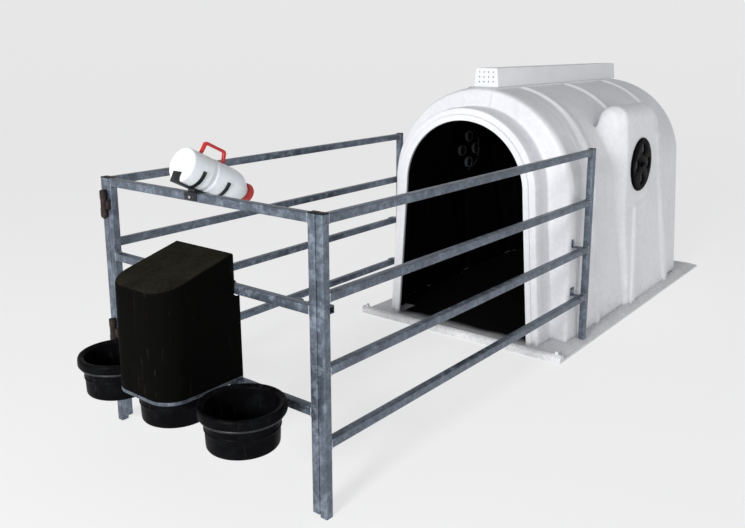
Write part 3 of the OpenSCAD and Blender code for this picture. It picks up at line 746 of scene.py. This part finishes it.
    def surface(self):
        """Grid of points (rows, half outline, xyz) for the right half, and the marks that features need."""
        rows = self.stations()
        y, half_w, radius, centre = (c[:, None] for c in rows.T)
        share = np.linspace(0, 1, self.SIDE, endpoint=False)[None, :]
        side = half_w + (radius - half_w) * share, FLOOR_Z + (centre - FLOOR_Z) * share
        low_turn = np.linspace(0, self.valley, self.LOW, endpoint=False)[None, :]
        low = radius * np.cos(low_turn), centre + radius * np.sin(low_turn)
        shrink = radius / self.ROOF_R
        edge = self.PLINTH_HALF_W * np.minimum(1, shrink)
        top_turn = np.arccos(np.clip(edge / np.maximum(radius, 1e-6), 0, 1))
        high_turn = self.valley + (top_turn - self.valley) * np.linspace(0, 1, self.HIGH, endpoint=False)[None, :]
        high = radius * np.cos(high_turn), centre + radius * np.sin(high_turn)
        slot = self.SLOT_HALF_W / self.PLINTH_HALF_W
        flat = np.r_[np.linspace(1, slot, 4), np.linspace(slot, 0, 4)[1:]]
        top_x = edge * np.r_[np.ones(self.PLINTH), flat][None, :]
        arc_z = centre + np.sqrt(np.maximum(radius ** 2 - top_x ** 2, 0))
        raised = step(y, self.step_2 + 0.028, self.step_2 + 0.034) * (1 - step(y, REAR_Y - 0.252, REAR_Y - 0.246))
        lift = np.r_[np.linspace(0, 1, self.PLINTH, endpoint=False), np.ones(self.TOP)][None, :]
        top_z = arc_z + raised * lift * (RIDGE_Z - arc_z)
        x = np.hstack([side[0], low[0], high[0], top_x])
        z = np.hstack([side[1], low[1], high[1], top_z])
        y = np.broadcast_to(y, x.shape).copy()
        self._add_bays(x, y, z)
        grid = self._add_relief(np.stack([x, y, z], axis=2))
        grid[..., 1] = np.minimum(grid[..., 1], REAR_Y)
        return grid

    def _add_bays(self, x, y, z):
        """Pulls the skin out to the side bays: their front corner leans, and they die away to the rear."""
        wall = slice(0, self.SIDE)
        upper = slice(self.SIDE, self.SIDE + self.LOW)
        outline = self._bay_outline()
        corner = self.bay_front + 0.125 * (1 - step(z, 0.03, 0.72)) - 0.075 * step(z, 0.78, 1.12)
        reach = 0.035 + 0.055 * step(z, 0.10, 0.85)
        out = np.clip((y - corner + reach) / reach, 0, 1) ** 1.7
        away = 1 - step(y, 0.50 - 0.42 * step(z, 0.1, 1.1), 0.70 - 0.16 * step(z, 0.1, 1.1))
        amount = out * away
        x[:, wall] += (self.BAY_X - x[:, wall]) * amount[:, wall]
        x[:, upper] += (outline[None, :, 0] - x[:, upper]) * amount[:, upper]
        z[:, upper] += (outline[None, :, 1] - z[:, upper]) * amount[:, upper]
        self.bay_share = amount

    def _normals(self, grid):
        along = np.gradient(grid, axis=0)
        across = np.gradient(grid, axis=1)
        normal = np.cross(along, across)
        size = np.linalg.norm(normal, axis=2, keepdims=True)
        normal = normal / np.maximum(size, 1e-12)
        outward = grid - np.array([0, 0.2, 0.5])
        flip = np.sign(np.sum(normal * outward, axis=2, keepdims=True))
        return normal * np.where(flip == 0, 1, flip)

    def _add_relief(self, grid):
        """Raises bands, beads, ribs and the pad, and sinks the gutter's mouth."""
        x, y, z = grid[..., 0], grid[..., 1], grid[..., 2]
        columns = np.arange(x.shape[1])[None, :]
        roof = columns >= self.SIDE + self.LOW
        open_skin = np.where(roof, 1.0, 1 - np.clip(self.bay_share * 1.6, 0, 1))
        on_top = columns >= self.SIDE + self.LOW + self.HIGH
        lean = 0.085 * (1 - step(z, -0.1, 0.75)) - 0.03 * ridge(z, 0.95, 0.3, 0.3)
        height = np.zeros_like(x)
        for band in self.bands:
            height += self.band_height * ridge(y - lean, band, self.band_width, 0.016) * open_skin * ~on_top
        fade = 1 - 0.45 * step(z, 0.85, 1.15)
        for place, size in self.BEADS:
            bead = np.exp(-(((y - DOOR_Y - place - lean * min(1.0, place / 0.3)) / self.BEAD_HALF_W) ** 2))
            height += self.bead_height * size * bead * fade * ~on_top
        height += self._bay_relief(y, z) * step(self.bay_share, 0.35, 0.85) * ~roof
        pad = ridge(x, 0, 0.17, 0.02) * ridge(z, 1.222, 0.05, 0.012) * (np.abs(y - self.step_2) < 0.03)
        height += self.PAD_HEIGHT * pad
        mouth = np.exp(-np.abs((y - self.bay_front + 0.055) / 0.075) ** 3)
        mouth = mouth * np.exp(-(((columns - self.SIDE - self.LOW) / 3.2) ** 2))
        lining = np.zeros_like(height)
        lining[:-6] = 1
        raised = grid + self._normals(grid) * (height * lining)[..., None]
        raised[..., 2] -= self.MOUTH_DEPTH * mouth
        overhang = np.clip(np.abs(raised[:, 0, 0]) - (TRAY_HIGH.x - self.MARGIN_W), 0, None)
        raised[:, 0, 2] -= self.MARGIN_FALL * overhang
        return raised

    def _bay_relief(self, y, z):
        """Ribs, ledge and crescent on the bay's upright wall."""
        low = 1 - step(z, 0.03, 0.72)
        ledge_y = VENT_Y - 0.040 + 0.045 * low
        ledge_rib = ridge(y, ledge_y, 0.062, 0.016) * (1 - step(z, 0.600, 0.625))
        middle = 0.205 + 0.345 * np.clip((1.03 - z) / 1.0, 0, 1) ** 1.1
        taper = 0.022 + 0.085 * np.clip((1.03 - z) / 1.0, 0, 1)
        long_rib = (1 - step(np.abs(y - middle), taper / 2 - 0.010, taper / 2 + 0.008)) * (1 - step(z, 1.00, 1.04))
        reach = np.hypot(y - VENT_Y - 0.02, z - VENT_Z)
        turn = np.degrees(np.arctan2(z - VENT_Z, y - VENT_Y - 0.02))
        width = 0.012 + 0.016 * step(turn, -110, -60)
        crescent = (1 - step(np.abs(reach - 0.245), width / 2, width / 2 + 0.008))
        crescent = crescent * step(turn, -98, -88) * (1 - step(turn, -48, -40))
        return self.rib_height * np.maximum.reduce([ledge_rib, 1.1 * long_rib, 0.9 * crescent])

    def mesh(self):
        """Both halves joined, with the ridge slot left open."""
        grid = self.surface()
        mirror = grid[:, ::-1].copy()
        mirror[..., 0] *= -1
        whole = np.concatenate([grid, mirror[:, 1:]], axis=1)
        bm = bmesh.new()
        verts = [[bm.verts.new(p) for p in row] for row in whole]
        slot_front, slot_rear = RIDGE_LOW.y + 0.12, RIDGE_HIGH.y - 0.12
        for low, high in zip(verts, verts[1:]):
            for a, b, c, d in zip(low, low[1:], high[1:], high):
                middle = (a.co + c.co) / 2
                in_slot = abs(middle.x) < self.SLOT_HALF_W and slot_front < middle.y < slot_rear
                if in_slot and middle.z > RIDGE_Z - 0.02:
                    continue
                bm.faces.new((a, b, c, d))
        bmesh.ops.remove_doubles(bm, verts=bm.verts, dist=0.00005)
        bmesh.ops.recalc_face_normals(bm, faces=bm.faces)
        probe = max(bm.faces, key=lambda face: face.calc_center_median().x)
        if probe.normal.x < 0:
            bmesh.ops.reverse_faces(bm, faces=bm.faces)
        for face in bm.faces:
            face.smooth = True
        # The inside slot takes the inner wall's painted shade.
        return to_mesh(bm, "shell_mesh", ["shell", "inside"])


def applied(name, mesh, modifiers):
    """The mesh after a list of (kind, options, node inputs by name) modifiers."""
    thing = bpy.data.objects.new(name, mesh)
    bpy.context.scene.collection.objects.link(thing)
    for kind, options, inputs in modifiers:
        modifier = thing.modifiers.new(kind, kind)
        for key, value in options.items():
            setattr(modifier, key, value)
        for item in modifier.node_group.interface.items_tree if inputs else ():
            if item.item_type == "SOCKET" and item.in_out == "INPUT" and item.name in inputs:
                modifier[item.identifier] = inputs[item.name]
    graph = bpy.context.evaluated_depsgraph_get()
    result = bpy.data.meshes.new_from_object(thing.evaluated_get(graph))
    bpy.data.objects.remove(thing)
    return result


class HUTCH_OT_shell(bpy.types.Operator):
    """Builds the moulded shell with its steps, bands, bays and inner wall"""

    bl_idname = "hutch.shell"
    bl_label = "Shell"

    def execute(self, context):
        mesh = ShellForm().mesh()
        cutter = bpy.data.objects.new("vent_cutter", self.cutter_mesh())
        context.scene.collection.objects.link(cutter)
        walls = {
            "thickness": settings("shell").wall, "offset": -1.0, "use_even_offset": False,
            "material_offset": 1, "material_offset_rim": 0, "use_rim": True,
        }
        mesh = applied("shell_form", mesh, [
            ("SOLIDIFY", walls, {}),
            ("BOOLEAN", {"operation": "DIFFERENCE", "object": cutter, "solver": "EXACT"}, {}),
        ])
        bpy.data.objects.remove(cutter)
        new_piece("shell_piece", mesh, body_of("shell"), "shell", ["shell"])
        return {"FINISHED"}

    @staticmethod
    def cutter_mesh():
        """Two short drums where the side vents' spigots pass through the wall."""
        radius, depth = 0.132, 0.06
        drums = bmesh.new()
        for side in (-1, 1):
            place = Matrix.Translation((side * (ShellForm.BAY_X - 0.006), VENT_Y, VENT_Z))
            bmesh.ops.create_cone(
                drums, cap_ends=True, segments=96, radius1=radius, radius2=radius, depth=depth,
                matrix=place @ Matrix.Rotation(math.pi / 2, 4, "Y"),
            )
        return to_mesh(drums, "vent_cutter_mesh", ["shell"])


class HUTCH_OT_tray(bpy.types.Operator):
    """Rounds the tray's edges and sets the locating pegs on its front lip"""

    bl_idname = "hutch.tray"
    bl_label = "Tray"

    def execute(self, context):
        softened("tray", "tray", 0.004, 0.03)
        pegs = bmesh.new()
        size, height = 0.016, 0.018
        for side in (-1, 1):
            centre = (side * (TRAY_HIGH.x - 0.028), TRAY_LOW.y + 0.018, TRAY_HIGH.z + height / 2 - 0.004)
            shape = Matrix.Translation(centre) @ Matrix.Diagonal((size, size, height, 1))
            made = bmesh.ops.create_cube(pegs, size=1, matrix=shape)
            edges = {e for v in made["verts"] for e in v.link_edges}
            bmesh.ops.bevel(pegs, geom=list(edges), offset=0.004, segments=3, profile=0.5, affect="EDGES")
        smooth_by_angle(pegs, 0.9)
        new_piece("tray_pegs", to_mesh(pegs, "tray_pegs_mesh", ["tray"]), body_of("tray"), "tray")
        return {"FINISHED"}


class HUTCH_OT_side_vents(bpy.types.Operator):
    """Finishes both side vents and adds the collars, paler as a painted glint on the holes' rims, and the fly screens
    behind their holes
    """

    bl_idname = "hutch.side_vents"
    bl_label = "Side vents"

    def execute(self, context):
        hole_r, hole_ring, depth = 0.031, 0.084, 0.018
        collar_r = hole_r + 0.003
        for side, sign in (("right", 1), ("left", -1)):
            for part, width in (("frame", 0.0015), ("shutter", 0.0012), ("handle", 0.003)):
                softened(f"{side}_vent_{part}", "vent_black", width, 0.0008, segments=2)
            collars, screens = bmesh.new(), bmesh.new()
            start = sign * (VENT_LOW.x + 0.0075)
            for turn in range(4):
                angle = turn * math.pi / 2
                centre = (start, VENT_Y + hole_ring * math.cos(angle), VENT_Z + hole_ring * math.sin(angle))
                outline = [(collar_r, 0), (collar_r, depth), (hole_r, depth), (hole_r, 0), (collar_r, 0)]
                screen = [(0, depth - 0.004), (hole_r, depth - 0.004), (hole_r, depth - 0.003), (0, depth - 0.003)]
                for target, profile in ((collars, outline), (screens, screen)):
                    scrap = to_mesh(turned(profile, centre, (-sign, 0, 0), 48), "collar_scrap")
                    target.from_mesh(scrap)
                    bpy.data.meshes.remove(scrap)
            smooth_by_angle(collars)
            # The collars' grey is a painted glint on the holes' rims.
            for bm, part in ((collars, "collar"), (screens, "screen")):
                mesh = to_mesh(bm, f"{side}_vent_{part}s_mesh", [part])
                new_piece(f"{side}_vent_{part}s", mesh, "hutch_and_pen", part)
        return {"FINISHED"}


# ---- pen

SIDES = ("right", "left")
RAILS = [f"{side}_rail_{i}" for side in SIDES for i in (1, 2, 3, 4)]
POSTS = [f"{side}_{end}_post" for side in SIDES for end in ("front", "rear")]
GATE_TUBES = ["gate_hinge_post", "gate_latch_post", "gate_top_rail", "gate_mid_rail", "gate_bottom_rail"]


class HUTCH_OT_tubes(bpy.types.Operator):
    """Rounds the corners of every square tube and finishes it in zinc"""

    bl_idname = "hutch.tubes"
    bl_label = "Square tubes"

    def execute(self, context):
        for node in RAILS + POSTS + GATE_TUBES:
            softened(node, "galvanised", settings("pen").corner, 0.1)
        for node in ("side_post_caps", "gate_post_caps"):
            softened(node, "cap_plastic", 0.0022, 0.02)
        return {"FINISHED"}


def bead_tree():
    """Node tree that lays a rippled weld bead along a mesh's edges."""
    tree = bpy.data.node_groups.new("weld_bead", "GeometryNodeTree")
    face = tree.interface
    face.new_socket("Geometry", in_out="INPUT", socket_type="NodeSocketGeometry")
    for name, kind in (("Radius", "NodeSocketFloat"), ("Spacing", "NodeSocketFloat"),
                       ("Seed", "NodeSocketInt"), ("Material", "NodeSocketMaterial")):
        face.new_socket(name, in_out="INPUT", socket_type=kind)
    face.new_socket("Geometry", in_out="OUTPUT", socket_type="NodeSocketGeometry")

    def node(kind, options=None, inputs=None):
        made = tree.nodes.new(kind)
        for key, value in (options or {}).items():
            setattr(made, key, value)
        for key, value in (inputs or {}).items():
            if isinstance(value, bpy.types.NodeSocket):
                tree.links.new(value, made.inputs[key])
            else:
                made.inputs[key].default_value = value
        return made.outputs

    given = node("NodeGroupInput")
    path = node("GeometryNodeMeshToCurve", {}, {"Mesh": given["Geometry"]})
    path = node("GeometryNodeResampleCurve", {"mode": "LENGTH"}, {"Curve": path[0], "Length": given["Spacing"]})
    ripple = node("GeometryNodeMeshIcoSphere", {}, {"Radius": given["Radius"], "Subdivisions": 2})
    size = node("FunctionNodeRandomValue", {"data_type": "FLOAT_VECTOR"}, {
        "Min": (0.85, 0.7, 0.8), "Max": (1.3, 1.15, 1.25), "Seed": given["Seed"],
    })
    turn = node("FunctionNodeRandomValue", {"data_type": "FLOAT_VECTOR"}, {
        "Min": (-0.6, -0.6, -0.6), "Max": (0.6, 0.6, 0.6), "Seed": given["Seed"],
    })
    spread = node("GeometryNodeInstanceOnPoints", {}, {
        "Points": path[0], "Instance": ripple[0], "Rotation": turn[0], "Scale": size[0],
    })
    real = node("GeometryNodeRealizeInstances", {}, {"Geometry": spread[0]})
    smooth = node("GeometryNodeSetShadeSmooth", {}, {"Geometry": real[0]})
    painted = node("GeometryNodeSetMaterial", {}, {"Geometry": smooth[0], "Material": given["Material"]})
    node("NodeGroupOutput", {}, {"Geometry": painted[0]})
    return tree


def loop_round(bm, node, axis, at, proud):
    """Adds a square loop of edges round a tube where its end meets a post."""
    cross = [i for i in range(3) if i != axis]
    ring = [v.co for v in frame["nodes"][node].data.vertices if abs(v.co[axis] - at) < 0.004]
    low = [min(p[i] for p in ring) - proud for i in cross]
    high = [max(p[i] for p in ring) + proud for i in cross]
    corners = []
    for a, b in ((low[0], low[1]), (high[0], low[1]), (high[0], high[1]), (low[0], high[1])):
        place = [0.0, 0.0, 0.0]
        place[axis], place[cross[0]], place[cross[1]] = at, a, b
        corners.append(bm.verts.new(place))
    for a, b in zip(corners, corners[1:] + corners[:1]):
        bm.edges.new((a, b))


class HUTCH_OT_welds(bpy.types.Operator):
    """Lays weld beads round every rail's ends"""

    bl_idname = "hutch.welds"
    bl_label = "Weld beads"

    def execute(self, context):
        pen = settings("pen")
        tree = bead_tree()
        end_gap, proud = 0.0005, -0.0006
        jobs = {"hutch_and_pen": (RAILS, 1), "gate": (["gate_top_rail", "gate_mid_rail", "gate_bottom_rail"], 0)}
        for body, (rails, axis) in jobs.items():
            guide = bmesh.new()
            for rail in rails:
                low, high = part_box(rail)
                for at in (low[axis] + end_gap, high[axis] - end_gap):
                    loop_round(guide, rail, axis, at, proud)
            values = {"Radius": pen.bead_size, "Spacing": pen.bead_step, "Seed": pen.seed, "Material": material("weld")}
            name = f"{body}_weld_guide"
            mesh = applied(name, to_mesh(guide, name), [("NODES", {"node_group": tree}, values)])
            new_piece(f"{body}_weld_beads", mesh, body, "weld")
        return {"FINISHED"}


# Nodes that only get rounded edges: their finish, the rounding's width, the shortest edge and the steps
EDGED = (
    (("ridge_vent",), "vent", 0.005, 0.05, 3),
    (("hinge_knuckles_post", "hinge_knuckles_gate", "hinge_pins"), "rusty_steel", 0.0012, 0.004, 2),
    (("fence_hooks",), "galvanised", 0.0008, 0.02, 2),
    (("hood_straps",), "dark_steel", 0.0007, 0.02, 2),
    (("hook_bolts", "hood_rivets", "latch_bolt", "rack_bolt"), "zinc", 0.0008, 0.003, 2),
    (("latch_guides", "latch_keeper"), "galvanised", 0.0012, 0.01, 2),
    # The hood hoop's finish is the tube zinc darkened as painted shade.
    (("hood_hoop",), "hoop", 0.0009, 0.001, 2),
    (("bucket_ring_left", "bucket_ring_middle", "bucket_ring_right"), "dark_steel", 0.0005, 1.0, 3),
    (("bottle_rack",), "dark_steel", 0.0006, 0.02, 2),
)


class HUTCH_OT_edged(bpy.types.Operator):
    """Rounds and finishes the ridge vent, hinges, hooks, bolts, latch, bucket rings, hoop and bottle rack"""

    bl_idname = "hutch.edged"
    bl_label = "Vent and ironwork"

    def execute(self, context):
        for nodes, finish, width, shortest, segments in EDGED:
            for node in nodes:
                softened(node, finish, width, shortest, segments=segments)
        return {"FINISHED"}


# ---- buckets, hood and bottle

class HUTCH_OT_buckets(bpy.types.Operator):
    """Turns the three rubber buckets with their broad rolled rims"""

    bl_idname = "hutch.buckets"
    bl_label = "Buckets"

    def execute(self, context):
        wall, lip, rim_h = 0.004, 0.013, 0.033
        for place in ("left", "middle", "right"):
            node = f"bucket_{place}"
            low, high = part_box(node)
            rim_r = (high.x - low.x) / 2
            tall = high.z - low.z
            rim_0 = tall - rim_h
            top_r = rim_r - 0.019
            foot_r = top_r - 0.006
            skirt_r = rim_r - lip
            outline = [
                (0, 0), (foot_r, 0), (foot_r + 0.0022, rim_0 * 0.55), (foot_r + 0.0055, rim_0 * 0.58),
                (foot_r + 0.0055, rim_0 * 0.63), (foot_r + 0.0035, rim_0 * 0.66), (top_r, rim_0 - 0.001),
                (skirt_r, rim_0), (rim_r - 0.002, rim_0), (rim_r, rim_0 + 0.004), (rim_r - 0.0005, tall - 0.009),
                (rim_r - 0.004, tall - 0.001), (rim_r - 0.011, tall), (top_r - wall - 0.002, tall - 0.007),
                (top_r - wall - 0.003, tall - 0.030), (foot_r - wall, wall), (0, wall),
            ]
            radii = [
                0.012, 0.002, 0.002, 0.002, 0.004, 0.002, 0.0005, 0.002, 0.003, 0.004, 0.003, 0.005, 0.005, 0.006,
                0.012,
            ]
            foot = ((low.x + high.x) / 2, (low.y + high.y) / 2, low.z)
            bm = turned(rounded(outline, radii, 5), foot, (0, 0, 1), 112)
            replace_node(node, bm, "bucket", 1.1)
        return {"FINISHED"}


class HUTCH_OT_hood(bpy.types.Operator):
    """Rounds the rain hood's edges"""

    bl_idname = "hutch.hood"
    bl_label = "Rain hood"

    def execute(self, context):
        low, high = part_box("hood")
        roof_z = high.z - 0.095

        def on_roof(edge):
            return min(v.co.z for v in edge.verts) > roof_z

        softened("hood", "hood", settings("feed").hood_edge, 0.002, on_roof, 4)
        return {"FINISHED"}


def bottle_axis():
    """The bottle's base centre and the direction to its cap, from its cap's turning axis."""
    joint = next(j for j in frame["joints"] if j["name"] == "cap_turn")
    return Vector(joint["pos_m"]), Vector(joint["axis"]).normalized()


class HUTCH_OT_bottle(bpy.types.Operator):
    """Turns the bottle and its fluted cap and rounds its handle"""

    bl_idname = "hutch.bottle"
    bl_label = "Bottle"

    def execute(self, context):
        base, axis = bottle_axis()
        r, neck_r, tall, wall = 0.062, 0.028, 0.330, 0.0025
        outer = [
            (0, 0.0035), (r - 0.030, 0.0035), (r - 0.014, 0), (r, 0.006), (r, 0.030), (r, 0.100),
            (r - 0.0035, 0.106), (r - 0.0035, 0.114), (r, 0.120), (r, 0.225), (r - 0.005, 0.255), (r - 0.018, 0.279),
            (neck_r, 0.294), (neck_r, 0.325),
        ]
        radii = [0.004, 0.006, 0.012, 0.002, 0.004, 0.004, 0.004, 0.004, 0.016, 0.014, 0.014, 0.003]
        inner = [
            (neck_r - wall, 0.325), (neck_r - wall, 0.292), (r - 0.018 - wall, 0.277), (r - wall, 0.225),
            (r - wall, 0.012), (0, 0.008),
        ]
        bm = turned(rounded(outer, radii, 6) + inner, base, axis, 112)
        replace_node("bottle", bm, "bottle", 0.9)
        softened("bottle_handle", "red", 0.0032, 0.0, segments=4)
        self.cap(base, axis, neck_r, tall)
        return {"FINISHED"}

    @staticmethod
    def cap(base, axis, neck_r, tall):
        """The cap with grip flutes round its skirt."""
        skirt, low = neck_r + 0.0072, tall - 0.030
        outline = [
            (neck_r + 0.0006, low), (skirt, low), (skirt, tall - 0.006), (neck_r + 0.004, tall),
            (neck_r - 0.006, tall), (neck_r - 0.009, tall - 0.003), (0, tall - 0.003), (0, tall - 0.0045),
            (neck_r + 0.0006, tall - 0.0045), (neck_r + 0.0006, low),
        ]
        bm = turned(rounded(outline, [0.0015, 0.004, 0.002, 0.002, 0.002, 0, 0, 0.0005], 5), base, axis, 144)
        across = axis.orthogonal().normalized()
        up = axis.cross(across)
        flutes = settings("feed").flutes
        for v in bm.verts:
            out = v.co - base
            along = out.dot(axis)
            out -= axis * along
            if out.length > skirt - 0.0012 and low + 0.002 < along < tall - 0.006:
                turn = math.atan2(out.dot(up), out.dot(across))
                v.co += out.normalized() * 0.0009 * math.cos(turn * flutes)
        replace_node("bottle_cap", bm, "red", 0.9)


# ---- stage

class HUTCH_OT_stage(bpy.types.Operator):
    """Sets the pale floor, the soft studio lights and the camera"""

    bl_idname = "hutch.stage"
    bl_label = "Stage"

    def execute(self, context):
        self.floor(context)
        self.lights(context)
        self.camera(context)
        return {"FINISHED"}

    @staticmethod
    def floor(context):
        """A seamless pale floor that curves up far away, as a studio sweep does."""
        flat, far, tall, segments = 14.0, 27.0, 13.0, 96
        bm = bmesh.new()
        rings = [[bm.verts.new((0, 0, 0))]]
        for radius, height in [(flat / 2, 0), (flat, 0)] + [
            (flat + (far - flat) * math.sin(t), tall * (1 - math.cos(t))) for t in np.linspace(0.08, math.pi / 2, 20)
        ]:
            rings.append([
                bm.verts.new((radius * math.cos(a), radius * math.sin(a), height))
                for a in np.linspace(0, math.tau, segments, endpoint=False)
            ])
        for i in range(segments):
            bm.faces.new((rings[0][0], rings[1][i], rings[1][(i + 1) % segments]))
        for low, high in zip(rings[1:], rings[2:]):
            for i in range(segments):
                k = (i + 1) % segments
                bm.faces.new((low[i], high[i], high[k], low[k]))
        for face in bm.faces:
            face.smooth = True
        floor = bpy.data.objects.new("floor", to_mesh(bm, "floor_mesh"))
        context.scene.collection.objects.link(floor)
        f = Finish("floor_pale")
        f.close(
            Base_Color=rgb((0.30, 0.30, 0.30)), Roughness=1.0, Specular_IOR_Level=0.0,
            Emission_Color=rgb((1.0, 1.0, 1.0)), Emission_Strength=0.66,
        )
        floor.data.materials.append(f.material)

    @staticmethod
    def lights(context):
        context.scene.view_settings.view_transform = "Standard"
        world = bpy.data.worlds.new("studio")
        world.use_nodes = True
        back = world.node_tree.nodes["Background"]
        back.inputs["Color"].default_value = (0.94, 0.95, 0.97, 1)
        back.inputs["Strength"].default_value = 0.30
        context.scene.world = world
        place, aim = Vector((1.4, -8.6, 2.7)), Vector((0.0, -0.8, 0.6))
        light = bpy.data.lights.new("key", "AREA")
        light.size = 1.5
        light.energy = 400
        lamp = bpy.data.objects.new("key", light)
        context.scene.collection.objects.link(lamp)
        lamp.location = place
        lamp.rotation_euler = (aim - place).to_track_quat("-Z", "Y").to_euler()

    @staticmethod
    def camera(context):
        eye = Vector((2.080, -4.376, 1.482))
        azimuth, elevation, roll = (math.radians(a) for a in (38.40, 11.77, -0.14))
        data = bpy.data.cameras.new("camera")
        data.sensor_width = 36
        data.lens = 37.66
        data.shift_y = -0.0717
        camera = bpy.data.objects.new("camera", data)
        context.scene.collection.objects.link(camera)
        back = Vector((
            math.sin(azimuth) * math.cos(elevation), -math.cos(azimuth) * math.cos(elevation), math.sin(elevation),
        ))
        turn = back.to_track_quat("Z", "Y").to_matrix().to_4x4() @ Matrix.Rotation(roll, 4, "Z")
        camera.matrix_world = Matrix.Translation(eye) @ turn
        context.scene.camera = camera


# ---- add-on

GROUPS = {"shell": HutchShellSettings, "pen": HutchPenSettings, "feed": HutchFeedSettings}
OPERATORS = [
    HUTCH_OT_tray, HUTCH_OT_shell, HUTCH_OT_side_vents, HUTCH_OT_tubes, HUTCH_OT_welds, HUTCH_OT_edged,
    HUTCH_OT_buckets, HUTCH_OT_hood, HUTCH_OT_bottle, HUTCH_OT_stage,
]


class HUTCH_PT_panel(bpy.types.Panel):
    """Sizes, colours and the pieces to build"""

    bl_idname = "HUTCH_PT_panel"
    bl_label = "Calf hutch"
    bl_space_type = "VIEW_3D"
    bl_region_type = "UI"
    bl_category = "Hutch"

    def draw(self, context):
        for part, group in GROUPS.items():
            box = self.layout.box()
            for name in group.__annotations__:
                box.prop(settings(part), name)
        for operator in OPERATORS:
            self.layout.operator(operator.bl_idname)


CLASSES = [*GROUPS.values(), *OPERATORS, HUTCH_PT_panel]


def register():
    for item in CLASSES:
        bpy.utils.register_class(item)
    for part, group in GROUPS.items():
        setattr(bpy.types.Scene, f"hutch_{part}", PointerProperty(type=group))


def unregister():
    for part in GROUPS:
        delattr(bpy.types.Scene, f"hutch_{part}")
    for item in reversed(CLASSES):
        bpy.utils.unregister_class(item)


def main():
    register()
    for operator in OPERATORS:
        getattr(bpy.ops.hutch, operator.bl_idname.split(".")[1])()
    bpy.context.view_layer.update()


if __name__ == "__main__":
    main()
